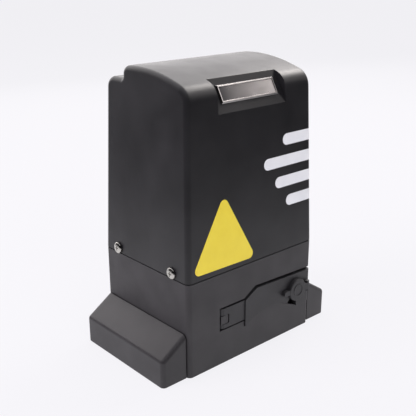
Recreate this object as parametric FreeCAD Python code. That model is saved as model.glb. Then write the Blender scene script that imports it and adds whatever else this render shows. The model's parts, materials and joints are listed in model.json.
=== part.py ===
import FreeCAD, Part
import math
import os

V = FreeCAD.Vector
X, Y, Z = V(1, 0, 0), V(0, 1, 0), V(0, 0, 1)

# Sliding-gate operator. X runs right along the front, Y to the rear, Z up, in millimetres.
# The origin is the middle of the underside.

# Whole body
BODY_W = 197.0
BODY_D = 150.0
SEAM_Z = 112.3
SEAM_GAP = 1.2
GASKET_IN = 0.8
HOOD_TOP = 329.4
EDGE_R = 6.0
DRAFT = math.tan(math.radians(2.0))
SEAT_GAP = 0.3
RUN_GAP = 0.05

# Base housing
FLOOR_T = 8.0
RIM_WALL = 4.0
SIDE_WALL = 7.0
FRONT_WALL = 12.0
CAVITY_R = 4.0
EAR_OUT = 26.0
EAR_D = 124.0
EAR_R = 9.0
SLOT_OUT = 13.5
SLOT_Y = 45.0
SLOT_W = 11.0
SLOT_L = 18.0
LEVEL_Y = 20.0
LEVEL_R = 4.0
LEVEL_L = 16.0
LEVEL_SLOT = 1.2
BAY_W = 24.5
BAY_WALL = 3.0

# Cable grommet in the bay floor
GROMMET_Y = 30.0
GROMMET_R = 8.0
GROMMET_WALL = 2.0
GROMMET_LIP = 2.0

# Deck plate over the gear chamber
DECK_Z = 98.0
DECK_T = 8.0
DECK_GAP = 0.3
BOSS_EDGE = 3.5
DECK_SCREW_GAP = 0.2
DECK_SCREW_R = 2.0
DECK_SCREW_HEAD_R = 3.8
DECK_SCREW_HEAD_H = 3.0
DECK_SCREW_L = 20.0
DECK_SCREW_END = 2.0
DECK_SCREW_IN = 9.0
BOSS_R = 6.0
OIL_PLUG_R = 7.0
OIL_PLUG_H = 6.0
OIL_PLUG_X = -34.0
OIL_PLUG_Y = 52.0

# Hood
HOOD_WALL = 3.0
ROOF_R = 210.0
ROOF_APEX_Y = 14.0
FRONT_R = 20.0
STEP_Y = 39.0
SHOULDER_Z = 314.5
STEP_R = 9.0
STEP_IN_R = 3.0
SHOULDER_R = 12.0
FLAT_SHARE = 0.8

# Badge pocket across the front top rounding, given by its lower and upper edge
POCKET_W = 100.0
POCKET_LOW = (-67.7, 288.0)
POCKET_HIGH = (-50.4, 318.6)
POCKET_WALL = 2.5
BADGE_W = 84.0
BADGE_H = 20.5
BADGE_T = 2.4
BADGE_RIM = 2.6
BADGE_BEVEL = 1.3
BADGE_SINK = 1.2
BADGE_UP = 17.8

# Hood screws in the seam line
SCREW_Y = 48.5
SCREW_Z = 118.4
SCREW_R = 2.6
SCREW_HEAD_R = 6.6
SCREW_HEAD_H = 3.4
SCREW_HEAD_SLOPE = 1.8
SCREW_HEAD_EDGE = 2.2
SCREW_L = 15.0
SCREW_SLOT_GAP = 0.6
CROSS_W = 1.6
CROSS_L = 7.0
CROSS_DEPTH = 2.0
LUG_W = 14.0
LUG_T = 8.0
LUG_TOP = 126.0

# Foot covers
FOOT_OUT = 33.8
FOOT_INSET = 3.1
FOOT_RIDGE_Z = 32.2
FOOT_TOP_Z = 54.4
FOOT_R = 5.0
FOOT_WALL = 2.5
FOOT_GAP = 1.2
FOOT_LIFT = 0.5
FOOT_RIB_Y = 30.0
FOOT_DROP = 1.25

# Release lever in the front wall
HINGE_X = -46.5
HINGE_BACK = 4.5
KNUCKLE_R = 4.2
KNUCKLE_LOW = 49.0
KNUCKLE_HIGH = 59.0
KNUCKLE_GAP = 0.5
KNUCKLE_W = 6.5
KNUCKLE_SIDE_GAP = 1.4
PIN_R = 1.6
ARM_LOW = 43.4
ARM_HIGH = 68.0
ARM_T = 4.5
ARM_POCKET_LEFT = -53.0
ARM_POCKET_LOW = 41.8
ARM_POCKET_HIGH = 70.4
ARM_POCKET_DEPTH = 9.0
STEP_X = -14.0
PLATE_LOW_LEFT = 35.0
PLATE_PEAK_X = 4.0
PLATE_PEAK_Z = 78.0
PLATE_END_Z = 74.6
PLATE_RIGHT = 97.0
PLATE_LOW_RIGHT = 32.0
PLATE_PROUD = 1.4
PLATE_T = 7.0
PLATE_BACK_GAP = 0.4
PLATE_GAP_TOP = 3.0
PLATE_GAP_LOW = 0.5
PLATE_GAP_SIDE = 0.5
PLATE_END_R = 5.0
NOTCH = ((73.0, 40.5), (61.8, 46.6), (56.5, 39.8))
SCOOP_MID = (22.0, 46.6)
SCOOP_END_X = 46.0
SCOOP_END_Z = 45.0
FINGER_DEPTH = 8.5

# Cam on the lever, which drives the release fork
CAM_R = 8.0
CAM_LIFT = 6.0
CAM_LOW = 60.2
CAM_HIGH = 65.8
CAM_START = 85.0
CAM_END = 180.0
CAM_GAP = 0.5
CAM_ROOM = 1.2
CAM_STEPS = 12

# Lock cylinder, its cam and its dust cap
LOCK_X = 70.0
LOCK_Z = 55.7
LOCK_R = 8.0
LOCK_BACK_GAP = 0.4
LOCK_CAM_L = 20.0
LOCK_CAM_W = 11.0
LOCK_CAM_T = 2.5
LOCK_SLOT_GAP = 1.5
KEY_W = 1.6
KEY_L = 8.0
KEY_DEPTH = 3.0
CAP_R = 13.8
CAP_T = 5.2
CAP_CHAMFER = 0.8
CAP_LIFT = 0.4
CAP_RING_R = 7.8
CAP_RING_H = 0.6
CAP_RING_W = 1.0
CAP_TAB_TIP = 46.7
CAP_TAB_W = 6.5
CAP_HINGE_X = 88.8
CAP_HINGE_R = 2.6
CAP_HINGE_W = 9.0
CAP_EAR_T = 2.0
CAP_PIN_R = 0.9

# Output shaft along Y
SHAFT_Z = 56.0
SHAFT_R = 10.0
SHAFT_FRONT = -53.0
SHAFT_COLLAR_R = 12.0
BEARING_R = 23.5
BEARING_T = 14.0
BEARING_LIP = 3.0
BOSS_WALL = 6.5
LOW_BOSS_WALL = 4.0
FRONT_BEARING_Y = -52.0
REAR_BEARING_Y = 50.0
SEAL_R = 17.5
SEAL_T = 7.0

# Output pinion, 16 teeth of module 4
PINION_MODULE = 4.0
PINION_TEETH = 16
PINION_W = 30.0
PINION_OFF = 4.0
PRESSURE = math.radians(20.0)
ROOT_SHARE = 1.25
KEY_SIZE = 6.0
KEY_IN = 2.0
SHAFT_SHORT = 1.0
WASHER_R = 15.0
WASHER_T = 3.0
BOLT_HEAD_R = 6.5
BOLT_HEAD_H = 5.3
BOLT_R = 4.0
BOLT_L = 22.0

# Worm wheel of 38 teeth of module 2 and its worm
WORM_MODULE = 2.0
WHEEL_TEETH = 38
WHEEL_W = 20.0
WHEEL_Y = -20.0
WHEEL_HUB_R = 17.0
WHEEL_HUB_L = 28.0
WHEEL_WEB_T = 8.0
WHEEL_RIM_R = 31.0
WHEEL_TOOTH = 2.74
WORM_TOOTH = 2.64
WORM_PITCH_R = 10.0
WORM_TURNS = 6
THREAD_STEPS = 12
THREAD_SUNK = 0.3
MESH_ROOT_GAP = 0.7
WORM_JOURNAL_R = 5.0
LOW_BEARING_R = 13.0
LOW_BEARING_T = 8.0
JOURNAL_L = 16.0
WORM_NECK = 2.0
HIGH_BEARING_R = 17.5
HIGH_BEARING_T = 11.0
WORM_UPPER_R = 7.5

# Dog clutch, its spring and the release fork
DOG_COUNT = 4
DOG_H = 5.0
DOG_ANGLE = 40.0
DOG_R = 21.0
DOG_COLLAR_T = 3.0
SPLINE_COUNT = 6
SPLINE_W = 4.0
SPLINE_R = 12.5
SPLINE_GAP = 0.08
SLEEVE_R = 22.0
SLEEVE_L = 24.0
GROOVE_Y = 8.0
GROOVE_W = 6.0
GROOVE_R = 17.0
FORK_T = 5.4
FORK_OUT_R = 27.0
ROD_R = 4.0
ROD_NOSE_R = 1.0
ROD_END = 58.0
ROD_BOSS_R = 8.0
ROD_BORE_END = 66.0
SPRING_R = 15.0
SPRING_WIRE = 2.0
SPRING_TURNS = 5
COIL_STEPS = 10
COIL_SIDES = 6

# Motor on the deck
MOTOR_R = 40.0
MOTOR_WALL = 3.0
FLANGE_R = 42.0
FLANGE_T = 8.0
MOTOR_H = 112.0
END_CAP_H = 16.0
END_CAP_EDGE = 5.0
STATOR_GAP = 0.6
ROTOR_R = 23.5
ROTOR_H = 72.0
STATOR_UP = 18.0
WINDING_H = 11.0
WINDING_IN = 2.0
WINDING_ROTOR_GAP = 3.0
FLANGE_BORE_GAP = 2.0
END_CAP_T = 5.0
FIN_COUNT = 12
FIN_DEPTH = 2.4
FIN_W = 2.0
FIN_IN = 8.0
MOTOR_BOLT_R = 3.5
MOTOR_BOLT_H = 3.0
MOTOR_BOLT_IN = 11.0
MOTOR_BOLTS = 4

# Capacitor behind the motor
CAP_CAN_X = 61.5
CAP_CAN_Y = 43.0
CAP_CAN_R = 19.0
CAP_CAN_H = 82.0
CAP_CAN_EDGE = 2.0
TAB_W = 8.0
TAB_T = 0.8
TAB_H = 8.0
TAB_APART = 12.0
CLIP_T = 1.5
CLIP_H = 14.0
CLIP_UP = 30.0
CLIP_W = 14.0
CLIP_FOOT = 12.0

# Transformer
CORE_X = -34.0
CORE_Y = -38.0
CORE_W = 48.0
CORE_D = 26.0
CORE_H = 42.0
COIL_W = 30.0
COIL_D = 40.0
COIL_H = 26.0
COIL_ROUND = 4.0

# Control board, upright on its bracket
BOARD_LEFT = -84.0
BOARD_RIGHT = 2.0
BOARD_LOW = 116.0
BOARD_HIGH = 240.0
BOARD_Y = 10.0
BOARD_T = 1.6
BRACKET_T = 1.5
BRACKET_GAP = 5.0
BRACKET_FOOT = 22.0
STANDOFF_R = 3.0
BOARD_HOLE_R = 1.6
BOARD_HOLE_IN = 5.0
BRACKET_UP = 2.0
BRACKET_IN = 2.0
BRACKET_HEEL = 3.0
BOARD_SCREW_HEAD_R = 2.88
BOARD_SCREW_HEAD_T = 1.6
BOARD_SCREW_SUNK = 1.0
BOARD_SCREW_REACH = 5.0
RELAY_PLACES = (-70.0, -46.0)
RELAY_LOW = 140.0
RELAY_W = 19.0
RELAY_H = 15.5
RELAY_OUT = 15.0
TERMINAL_IN = 12.0
TERMINAL_UP = 2.0
TERMINAL_COUNT = 8
TERMINAL_STEP = 7.5
TERMINAL_H = 12.0
TERMINAL_OUT = 12.0
WELL_R = 2.2
WELL_UP = 7.0
WELL_DEPTH = 3.0
WIRE_SLOT_W = 4.8
WIRE_SLOT_H = 3.5
WIRE_SLOT_DEPTH = 6.0
FUSE_X = -20.0
FUSE_LOW = 150.0
FUSE_L = 20.0
FUSE_R = 2.6
FUSE_OUT = 6.0
FUSE_CLIP_W = 6.4
FUSE_CLIP_H = 5.0
FUSE_CLIP_OUT = 7.0
FUSE_CLIP_PAST = 1.5
SINK_LEFT = -80.0
SINK_LOW = 172.0
SINK_W = 34.0
SINK_H = 18.0
SINK_OUT = 16.0
SINK_BASE_T = 3.0
SINK_FIN_T = 2.0
SINK_FIN_STEP = 5.1
SINK_FINS = 7
CANS_X = (-32.0, -14.0)
CANS_Z = 186.0
CANS_R = 6.5
CANS_H = 18.0
CHIP_LEFT = -44.0
CHIP_LOW = 204.0
CHIP_W = 22.0
CHIP_H = 10.0
CHIP_OUT = 2.5
BUTTON_Z = 226.0
BUTTON_FIRST_X = -72.0
BUTTON_STEP = 16.0
BUTTON_COUNT = 3
BUTTON_BODY = 8.0
BUTTON_BODY_T = 4.0
BUTTON_R = 2.6
BUTTON_T = 3.5
BUTTON_TRAVEL = 0.8
BUTTON_WELL_MORE = 0.2

# Limit switch with its spring wand, at the rear
LIMIT_W = 30.0
LIMIT_TOP = 150.0
LIMIT_FRONT = 44.0
LIMIT_WALL = 2.0
LIMIT_GAP = 0.8
WAND_Z = 136.0
WAND_PIVOT_Y = 58.0
WAND_PIVOT_R = 5.0
WAND_AXLE_R = 2.0
WAND_R = 2.8
WAND_OUT = 46.0
WAND_TIP_R = 5.0
TIP_STEPS = 2
WAND_COILS = 4
WAND_STEM = 2.0
WAND_GROOVE = 0.5
WAND_SLOT_MORE = 1.2
STEM_LESS = 0.8
STRIKER_W = 12.0
STRIKER_OUT = 3.0
STRIKER_T = 4.0
MICRO_W = 4.0
MICRO_L = 16.0
MICRO_H = 10.0


# Worked-out sizes
HALF_W = BODY_W / 2
HALF_D = BODY_D / 2
BASE_TOP = SEAM_Z - SEAM_GAP / 2
HOOD_LOW = SEAM_Z + SEAM_GAP / 2
DECK_TOP = DECK_Z + DECK_T
FRONT_Y = -HALF_D
REAR_Y = HALF_D
HINGE_Y = FRONT_Y + HINGE_BACK
BAY_LEFT = -HALF_W + SIDE_WALL
BAY_RIGHT = BAY_LEFT + BAY_W
CHAMBER_LEFT = BAY_RIGHT + BAY_WALL
WHEEL_PITCH_R = WORM_MODULE * WHEEL_TEETH / 2
WORM_X = WHEEL_PITCH_R + WORM_PITCH_R
WORM_PITCH = math.pi * WORM_MODULE
ROD_Z = (CAM_LOW + CAM_HIGH) / 2
SLOT_X = HALF_W + SLOT_OUT
PLATE_POCKET_DEPTH = PLATE_T - PLATE_PROUD + PLATE_BACK_GAP
LOCK_LENGTH = PLATE_PROUD + FRONT_WALL + LOCK_BACK_GAP


def box(x0, x1, y0, y1, z0, z1):
    """A block between two corners."""
    return Part.makeBox(x1 - x0, y1 - y0, z1 - z0, V(x0, y0, z0))


def rod(radius, start, axis, length):
    """A round bar from a start point along an axis."""
    return Part.makeCylinder(radius, length, start, axis)


def ring(outer, inner, start, axis, length):
    """A round bar with a round hole through it."""
    return rod(outer, start, axis, length).cut(rod(inner, start, axis, length))


def prism(points, along):
    """A straight solid on a closed outline of points."""
    corners = [V(*p) for p in points]
    return Part.Face(Part.makePolygon(corners + corners[:1])).extrude(along)


def upright_edges(shape, radius):
    """Round the vertical edges of a block."""
    edges = [e for e in shape.Edges if is_along(e, Z)]
    return shape.makeFillet(radius, edges)


def is_along(edge, axis):
    """Whether an edge is straight and runs along an axis."""
    if edge.Curve.TypeId != "Part::GeomLine":
        return False
    return abs(abs(edge.tangentAt(edge.FirstParameter).dot(axis)) - 1) < 1e-6


def rounded_block(x0, x1, y0, y1, z0, z1, radius):
    """A block with round vertical edges."""
    return upright_edges(box(x0, x1, y0, y1, z0, z1), radius)


def fuse_all(shapes):
    """One solid from several that touch or overlap."""
    joined = shapes[0].fuse(shapes[1:])
    return joined.removeSplitter()


def round_edges_above(shape, z):
    """The round edges of an upright form above a height."""
    return [e for e in shape.Edges if e.Curve.TypeId == "Part::GeomCircle" and e.Vertexes[0].Point.z > z]


def save(node, shape):
    """Write one sub-part to its own file."""
    shape.exportStep("parts/" + node + ".step")


# Base housing

def anchor_ear(side):
    """The anchor ear on one side, with its slots and levelling holes."""
    x0 = side * (HALF_W - EAR_R * 2)
    x1 = side * (HALF_W + EAR_OUT)
    ear = rounded_block(min(x0, x1), max(x0, x1), -EAR_D / 2, EAR_D / 2, 0, FLOOR_T, EAR_R)
    ear = ear.cut(box(-HALF_W, HALF_W, -HALF_D, HALF_D, 0, FLOOR_T))
    for y in (-SLOT_Y, SLOT_Y):
        half = (SLOT_L - SLOT_W) / 2
        x = side * SLOT_X
        ear = ear.cut(box(x - half, x + half, y - SLOT_W / 2, y + SLOT_W / 2, 0, FLOOR_T))
        for end in (-half, half):
            ear = ear.cut(rod(SLOT_W / 2, V(x + end, y, 0), Z, FLOOR_T))
    for y in (-LEVEL_Y, LEVEL_Y):
        ear = ear.cut(rod(LEVEL_R, V(side * SLOT_X, y, 0), Z, FLOOR_T))
    return ear


def anchor_ears():
    """The two ears that carry the anchor bolts, flush with the housing's underside."""
    return Part.makeCompound([anchor_ear(-1), anchor_ear(1)])


def screw_lug(side, y):
    """The block inside the rim that a hood screw threads into."""
    outer = HALF_W - RIM_WALL
    lug = box(outer - LUG_T, outer, y - LUG_W / 2, y + LUG_W / 2, DECK_TOP + DECK_GAP, LUG_TOP)
    lug = lug.cut(rod(SCREW_R + RUN_GAP, V(outer - LUG_T, y, SCREW_Z), X, LUG_T))
    return lug if side > 0 else lug.mirror(V(0, 0, 0), X)


def deck_screw_places():
    """Where the deck is screwed to the housing: its four corners."""
    inset = SIDE_WALL + DECK_SCREW_IN - BOSS_R
    left, right = CHAMBER_LEFT + DECK_SCREW_IN - BOSS_R, HALF_W - inset
    front, rear = FRONT_Y + FRONT_WALL + DECK_SCREW_IN - BOSS_R, REAR_Y - inset
    return [(x, y) for x in (left, right) for y in (front, rear)]


def plate_outline(grow_top, grow_low, end_x):
    """The outline of the lever's plate on the front face, grown by its gaps."""
    low_left = (STEP_X, PLATE_LOW_LEFT - grow_low)
    scoop = (SCOOP_MID[0], SCOOP_MID[1] - grow_low)
    scoop_end = (SCOOP_END_X, SCOOP_END_Z - grow_low)
    right = [(x, z - grow_low) for x, z in reversed(NOTCH)]
    corner_low = [(NOTCH[0][0], PLATE_LOW_RIGHT - grow_low), (end_x, PLATE_LOW_RIGHT - grow_low)]
    top = [(end_x, PLATE_END_Z + grow_top), (PLATE_PEAK_X - grow_top / 2, PLATE_PEAK_Z + grow_top)]
    left = [(STEP_X, ARM_HIGH + grow_top), low_left]
    line = [scoop_end] + right + corner_low + top + left
    arc = Part.Arc(V(low_left[0], 0, low_left[1]), V(scoop[0], 0, scoop[1]), V(scoop_end[0], 0, scoop_end[1]))
    straight = Part.makePolygon([V(x, 0, z) for x, z in line])
    return Part.Face(Part.Wire([arc.toShape()] + straight.Edges))


def lever_pocket():
    """The recess in the front wall that the release lever lies in."""
    arm = box(ARM_POCKET_LEFT, STEP_X + 1, FRONT_Y, FRONT_Y + ARM_POCKET_DEPTH,
              ARM_POCKET_LOW, ARM_POCKET_HIGH)
    plate = plate_outline(PLATE_GAP_TOP, PLATE_GAP_LOW, HALF_W + 1)
    plate.translate(V(0, FRONT_Y, 0))
    plate = plate.extrude(V(0, PLATE_POCKET_DEPTH, 0))
    side = box(STEP_X - PLATE_GAP_SIDE, STEP_X + 1, FRONT_Y, FRONT_Y + PLATE_POCKET_DEPTH,
               PLATE_LOW_LEFT - PLATE_GAP_LOW, ARM_POCKET_LOW + 1)
    cam_r = CAM_R + CAM_LIFT + CAM_ROOM
    cam = rod(cam_r, V(HINGE_X, HINGE_Y, CAM_LOW - CAM_ROOM / 2), Z, CAM_HIGH - CAM_LOW + CAM_ROOM)
    behind = box(HINGE_X - cam_r, HINGE_X + cam_r, HINGE_Y - CAM_ROOM / 2, HINGE_Y + cam_r,
                 CAM_LOW - 1, CAM_HIGH + 1)
    return fuse_all([arm, plate, side, cam.common(behind)])


def finger_recess():
    """The dark hollow beside the lock, where a finger pulls the lever open."""
    x0, x1 = NOTCH[2][0], NOTCH[0][0] + 1
    points = [(x0, NOTCH[2][1]), (NOTCH[1][0], NOTCH[1][1] + 1), (x1, NOTCH[0][1] + 1), (x1, PLATE_LOW_RIGHT)]
    return prism([(x, FRONT_Y, z) for x, z in points], V(0, FINGER_DEPTH, 0))


def lock_slot():
    """The slot in the front wall that the barrel and its flat cam pass through."""
    reach = LOCK_CAM_L + LOCK_SLOT_GAP
    half = LOCK_R + LOCK_SLOT_GAP
    back = FRONT_Y + FRONT_WALL + LOCK_SLOT_GAP
    return box(LOCK_X - reach, LOCK_X + half, FRONT_Y, back, LOCK_Z - half, LOCK_Z + half)


def base_knuckle():
    """The middle hinge knuckle, cast on the housing."""
    round_part = rod(KNUCKLE_R, V(HINGE_X, HINGE_Y, KNUCKLE_LOW), Z, KNUCKLE_HIGH - KNUCKLE_LOW)
    back = FRONT_Y + ARM_POCKET_DEPTH + 1
    web = box(HINGE_X - KNUCKLE_R, HINGE_X + KNUCKLE_W, HINGE_Y - KNUCKLE_R, back, KNUCKLE_LOW, KNUCKLE_HIGH)
    return round_part.fuse(web).cut(hinge_bore(PIN_R))


def hinge_bore(radius):
    """The bore for the lever's hinge pin, through the whole pocket."""
    return rod(radius, V(HINGE_X, HINGE_Y, ARM_POCKET_LOW), Z, ARM_POCKET_HIGH - ARM_POCKET_LOW)


def shaft_bores():
    """The seats of both shaft bearings and the bore between them, through every wall."""
    front = FRONT_Y + FRONT_WALL
    bores = [rod(BEARING_R, V(0, FRONT_BEARING_Y, SHAFT_Z), Y, BEARING_T)]
    bores.append(rod(SHAFT_R + BEARING_LIP, V(0, front, SHAFT_Z), Y, FRONT_BEARING_Y - front))
    bores.append(rod(BEARING_R, V(0, REAR_BEARING_Y, SHAFT_Z), Y, BEARING_T))
    bores.append(rod(SHAFT_R + BEARING_LIP, V(0, REAR_BEARING_Y, SHAFT_Z), Y, REAR_Y - REAR_BEARING_Y))
    bores.append(rod(SEAL_R, V(0, REAR_Y - SEAL_T, SHAFT_Z), Y, SEAL_T))
    return bores


def rod_bore():
    """The bore that the release rod slides in."""
    start = FRONT_Y + ARM_POCKET_DEPTH
    return rod(ROD_R + RUN_GAP, V(HINGE_X, start, ROD_Z), Y, ROD_BORE_END - start)


def deck_boss(x, y):
    """One boss in a corner of the chamber, with the bore for a deck screw."""
    boss = rod(BOSS_R, V(x, y, FLOOR_T), Z, DECK_Z - FLOOR_T).common(gear_chamber())
    depth = DECK_SCREW_L - DECK_T + DECK_SCREW_END
    return boss.cut(rod(DECK_SCREW_R, V(x, y, DECK_Z - depth), Z, depth))


def inner_bosses():
    """What stands inside the casting: bearing blocks, the worm's foot, deck bosses and screw lugs."""
    front, rear = FRONT_Y + FRONT_WALL, REAR_Y - SIDE_WALL
    front_end = FRONT_BEARING_Y + BEARING_T
    boss_r = BEARING_R + BOSS_WALL
    front_block = fuse_all([
        rod(boss_r, V(0, front, SHAFT_Z), Y, front_end - front),
        box(-boss_r, boss_r, front, front_end, FLOOR_T, SHAFT_Z),
        rod(ROD_BOSS_R, V(HINGE_X, front, ROD_Z), Y, front_end - front),
        box(HINGE_X, 0, front, front_end, ROD_Z - ROD_BOSS_R, ROD_Z + ROD_BOSS_R / 2)])
    rear_block = fuse_all([
        rod(boss_r, V(0, REAR_BEARING_Y, SHAFT_Z), Y, rear - REAR_BEARING_Y),
        box(-boss_r, boss_r, REAR_BEARING_Y, rear, FLOOR_T, SHAFT_Z)])
    rod_end = rod(ROD_BOSS_R, V(HINGE_X, REAR_BEARING_Y, ROD_Z), Y, rear - REAR_BEARING_Y)
    cuts = shaft_bores() + [rod_bore(), lever_pocket()]
    bosses = [front_block.cut(cuts), rear_block.cut(cuts), rod_end.cut(cuts), worm_foot()]
    bosses += [deck_boss(x, y).cut(lever_pocket()) for x, y in deck_screw_places()]
    bosses += [screw_lug(side, y) for side in (-1, 1) for y in (-SCREW_Y, SCREW_Y)]
    return Part.makeCompound(bosses)


def worm_foot():
    """The round foot under the worm, with the seat of its lower bearing."""
    seat = worm_low() - JOURNAL_L
    foot = rod(LOW_BEARING_R + LOW_BOSS_WALL, V(WORM_X, WHEEL_Y, FLOOR_T), Z, seat + LOW_BEARING_T - FLOOR_T)
    foot = foot.cut(rod(LOW_BEARING_R, V(WORM_X, WHEEL_Y, seat), Z, LOW_BEARING_T))
    return foot.cut(rod(WORM_JOURNAL_R + BEARING_LIP, V(WORM_X, WHEEL_Y, FLOOR_T), Z, seat - FLOOR_T))


def gear_chamber():
    """The oil-filled room that the gears turn in."""
    return rounded_block(CHAMBER_LEFT, HALF_W - SIDE_WALL, FRONT_Y + FRONT_WALL, REAR_Y - SIDE_WALL,
                         FLOOR_T, DECK_Z, CAVITY_R)


def casting():
    """The whole cast tub with its chamber, its cable bay and the recesses in its front wall."""
    body = rounded_block(-HALF_W, HALF_W, -HALF_D, HALF_D, 0, BASE_TOP, EDGE_R)
    rim = rounded_block(-HALF_W + RIM_WALL, HALF_W - RIM_WALL, -HALF_D + RIM_WALL, HALF_D - RIM_WALL,
                        DECK_Z, BASE_TOP, CAVITY_R)
    bay = rounded_block(BAY_LEFT, BAY_RIGHT, FRONT_Y + FRONT_WALL, REAR_Y - SIDE_WALL,
                        FLOOR_T, DECK_Z, CAVITY_R)
    cable_hole = rod(GROMMET_R + GROMMET_WALL, V((BAY_LEFT + BAY_RIGHT) / 2, GROMMET_Y, 0), Z, FLOOR_T)
    cuts = [rim, gear_chamber(), bay, cable_hole, rod_bore(), lever_pocket(), finger_recess(), lock_slot()]
    return body.cut(cuts + shaft_bores())


def front_slab():
    """The room of the front wall in the casting."""
    return box(-HALF_W, HALF_W, FRONT_Y, FRONT_Y + FRONT_WALL, 0, BASE_TOP)


def base_housing():
    """The tub behind its front wall: floor, side walls, rear wall and the wall of the bay."""
    return casting().cut(front_slab())


def front_wall():
    """The casting's front wall, with the recess for the lever and the middle hinge knuckle."""
    wall = casting().common(front_slab()).fuse(base_knuckle())
    return wall.removeSplitter()


def worm_low():
    """The height at which the worm's thread starts."""
    return SHAFT_Z - WORM_PITCH * WORM_TURNS / 2


def grommet():
    """The rubber cable grommet in the floor of the bay."""
    start = V((BAY_LEFT + BAY_RIGHT) / 2, GROMMET_Y, 0)
    body = rod(GROMMET_R + GROMMET_WALL, start, Z, FLOOR_T)
    lip_start = start + V(0, 0, FLOOR_T)
    lip = rod(GROMMET_R + GROMMET_WALL + GROMMET_LIP / 2, lip_start, Z, GROMMET_LIP)
    return body.fuse(lip).cut(rod(GROMMET_R, start, Z, FLOOR_T + GROMMET_LIP))


def levelling_screws():
    """Four grub screws through the ears, which set the height."""
    screws = []
    for side in (-1, 1):
        for y in (-LEVEL_Y, LEVEL_Y):
            start = V(side * SLOT_X, y, FOOT_LIFT)
            screw = rod(LEVEL_R - RUN_GAP, start, Z, LEVEL_L)
            slot = box(start.x - LEVEL_R, start.x + LEVEL_R, y - LEVEL_SLOT / 2, y + LEVEL_SLOT / 2,
                       LEVEL_L - LEVEL_SLOT, LEVEL_L + FOOT_LIFT)
            screws.append(screw.cut(slot))
    return Part.makeCompound(screws)


# Hood

def half_width(z, inset):
    """Half the hood's width at a height, with its draft."""
    return HALF_W - (z - HOOD_LOW) * DRAFT - inset


def half_depth(z, inset):
    """Half the hood's depth at a height, with its draft."""
    return HALF_D - (z - HOOD_LOW) * DRAFT - inset


def tapered_prism(half, z0, z1, inset, reach, along_x):
    """A prism between two drafted faces, for the hood's depth or width."""
    a, b = half(z0, inset), half(z1, inset)
    flat = [(-a, z0), (a, z0), (b, z1), (-b, z1)]
    if along_x:
        return prism([(-reach, u, z) for u, z in flat], V(2 * reach, 0, 0))
    return prism([(u, -reach, z) for u, z in flat], V(0, 2 * reach, 0))


def edges_near(shape, y, z, reach):
    """The edges along X whose line passes close to a point of the side profile."""
    found = []
    for edge in shape.Edges:
        middle = edge.valueAt((edge.FirstParameter + edge.LastParameter) / 2)
        if is_along(edge, X) and math.hypot(middle.y - y, middle.z - z) < reach:
            found.append(edge)
    return found


def hood_block(inset, z_low):
    """The hood's side profile with sharp edges: drafted walls, arched roof and the step behind it."""
    top = HOOD_TOP + EDGE_R
    form = tapered_prism(half_depth, z_low, top, inset, BODY_W, True)
    centre = V(-BODY_W, ROOF_APEX_Y, HOOD_TOP - ROOF_R)
    form = form.common(rod(ROOF_R - inset, centre, X, 2 * BODY_W))
    return form.cut(box(-BODY_W, BODY_W, STEP_Y - inset, BODY_D, SHOULDER_Z - inset, top))


def hood_form():
    """The hood's full outer form with all its roundings."""
    form = hood_block(0, HOOD_LOW)
    form = form.makeFillet(FRONT_R, edges_near(form, -half_depth(SHOULDER_Z, 0), SHOULDER_Z, FRONT_R / 2))
    form = form.makeFillet(SHOULDER_R, edges_near(form, half_depth(SHOULDER_Z, 0), SHOULDER_Z, EDGE_R / 2))
    form = form.makeFillet(STEP_IN_R, edges_near(form, STEP_Y, SHOULDER_Z, EDGE_R / 2))
    form = form.makeFillet(STEP_R, edges_near(form, STEP_Y, HOOD_TOP, EDGE_R))
    form = form.common(tapered_prism(half_width, HOOD_LOW, HOOD_TOP + EDGE_R, 0, BODY_D, False))
    sides = [e for e in form.Edges if is_side_edge(e, HOOD_LOW)]
    return form.makeFillet(EDGE_R, sides)


def hood_hollow():
    """The room inside the hood, with flats where the outer form is round."""
    wall = HOOD_WALL
    low = HOOD_LOW - wall
    form = hood_block(wall, low)
    front, rear = -half_depth(SHOULDER_Z, wall), half_depth(SHOULDER_Z, wall)
    front_edges = edges_near(form, front, SHOULDER_Z - wall, FRONT_R / 2)
    form = form.makeChamfer(FLAT_SHARE * (FRONT_R - wall), front_edges)
    rear_edges = edges_near(form, rear, SHOULDER_Z - wall, EDGE_R / 2)
    form = form.makeChamfer(FLAT_SHARE * (SHOULDER_R - wall), rear_edges)
    step_edges = edges_near(form, STEP_Y - wall, HOOD_TOP - wall, EDGE_R)
    form = form.makeChamfer(FLAT_SHARE * (STEP_R - wall), step_edges)
    return form.common(tapered_prism(half_width, low, HOOD_TOP + EDGE_R, wall, BODY_D, False))


def is_side_edge(edge, z_low):
    """Whether an edge runs round one of the hood's drafted side faces, above its foot."""
    points = [edge.valueAt(t) for t in (edge.FirstParameter, edge.LastParameter)]
    on_side = all(abs(abs(p.x) - half_width(p.z, 0)) < 0.01 for p in points)
    return on_side and not all(abs(p.z - z_low) < 0.01 for p in points)


def pocket_frame(lift):
    """The badge pocket's own axes: X across, Y up its slope, Z out of the hood."""
    run = POCKET_HIGH[0] - POCKET_LOW[0]
    rise = POCKET_HIGH[1] - POCKET_LOW[1]
    turn = FreeCAD.Rotation(X, math.degrees(math.atan2(rise, run)))
    start = V(0, POCKET_LOW[0], POCKET_LOW[1]) + turn.multVec(V(0, 0, lift))
    return FreeCAD.Placement(start, turn)


def in_pocket(shape, lift):
    """Put a shape that is drawn flat on the slope of the badge pocket."""
    placed = shape.copy()
    placed.Placement = pocket_frame(lift).multiply(placed.Placement)
    return placed


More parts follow.
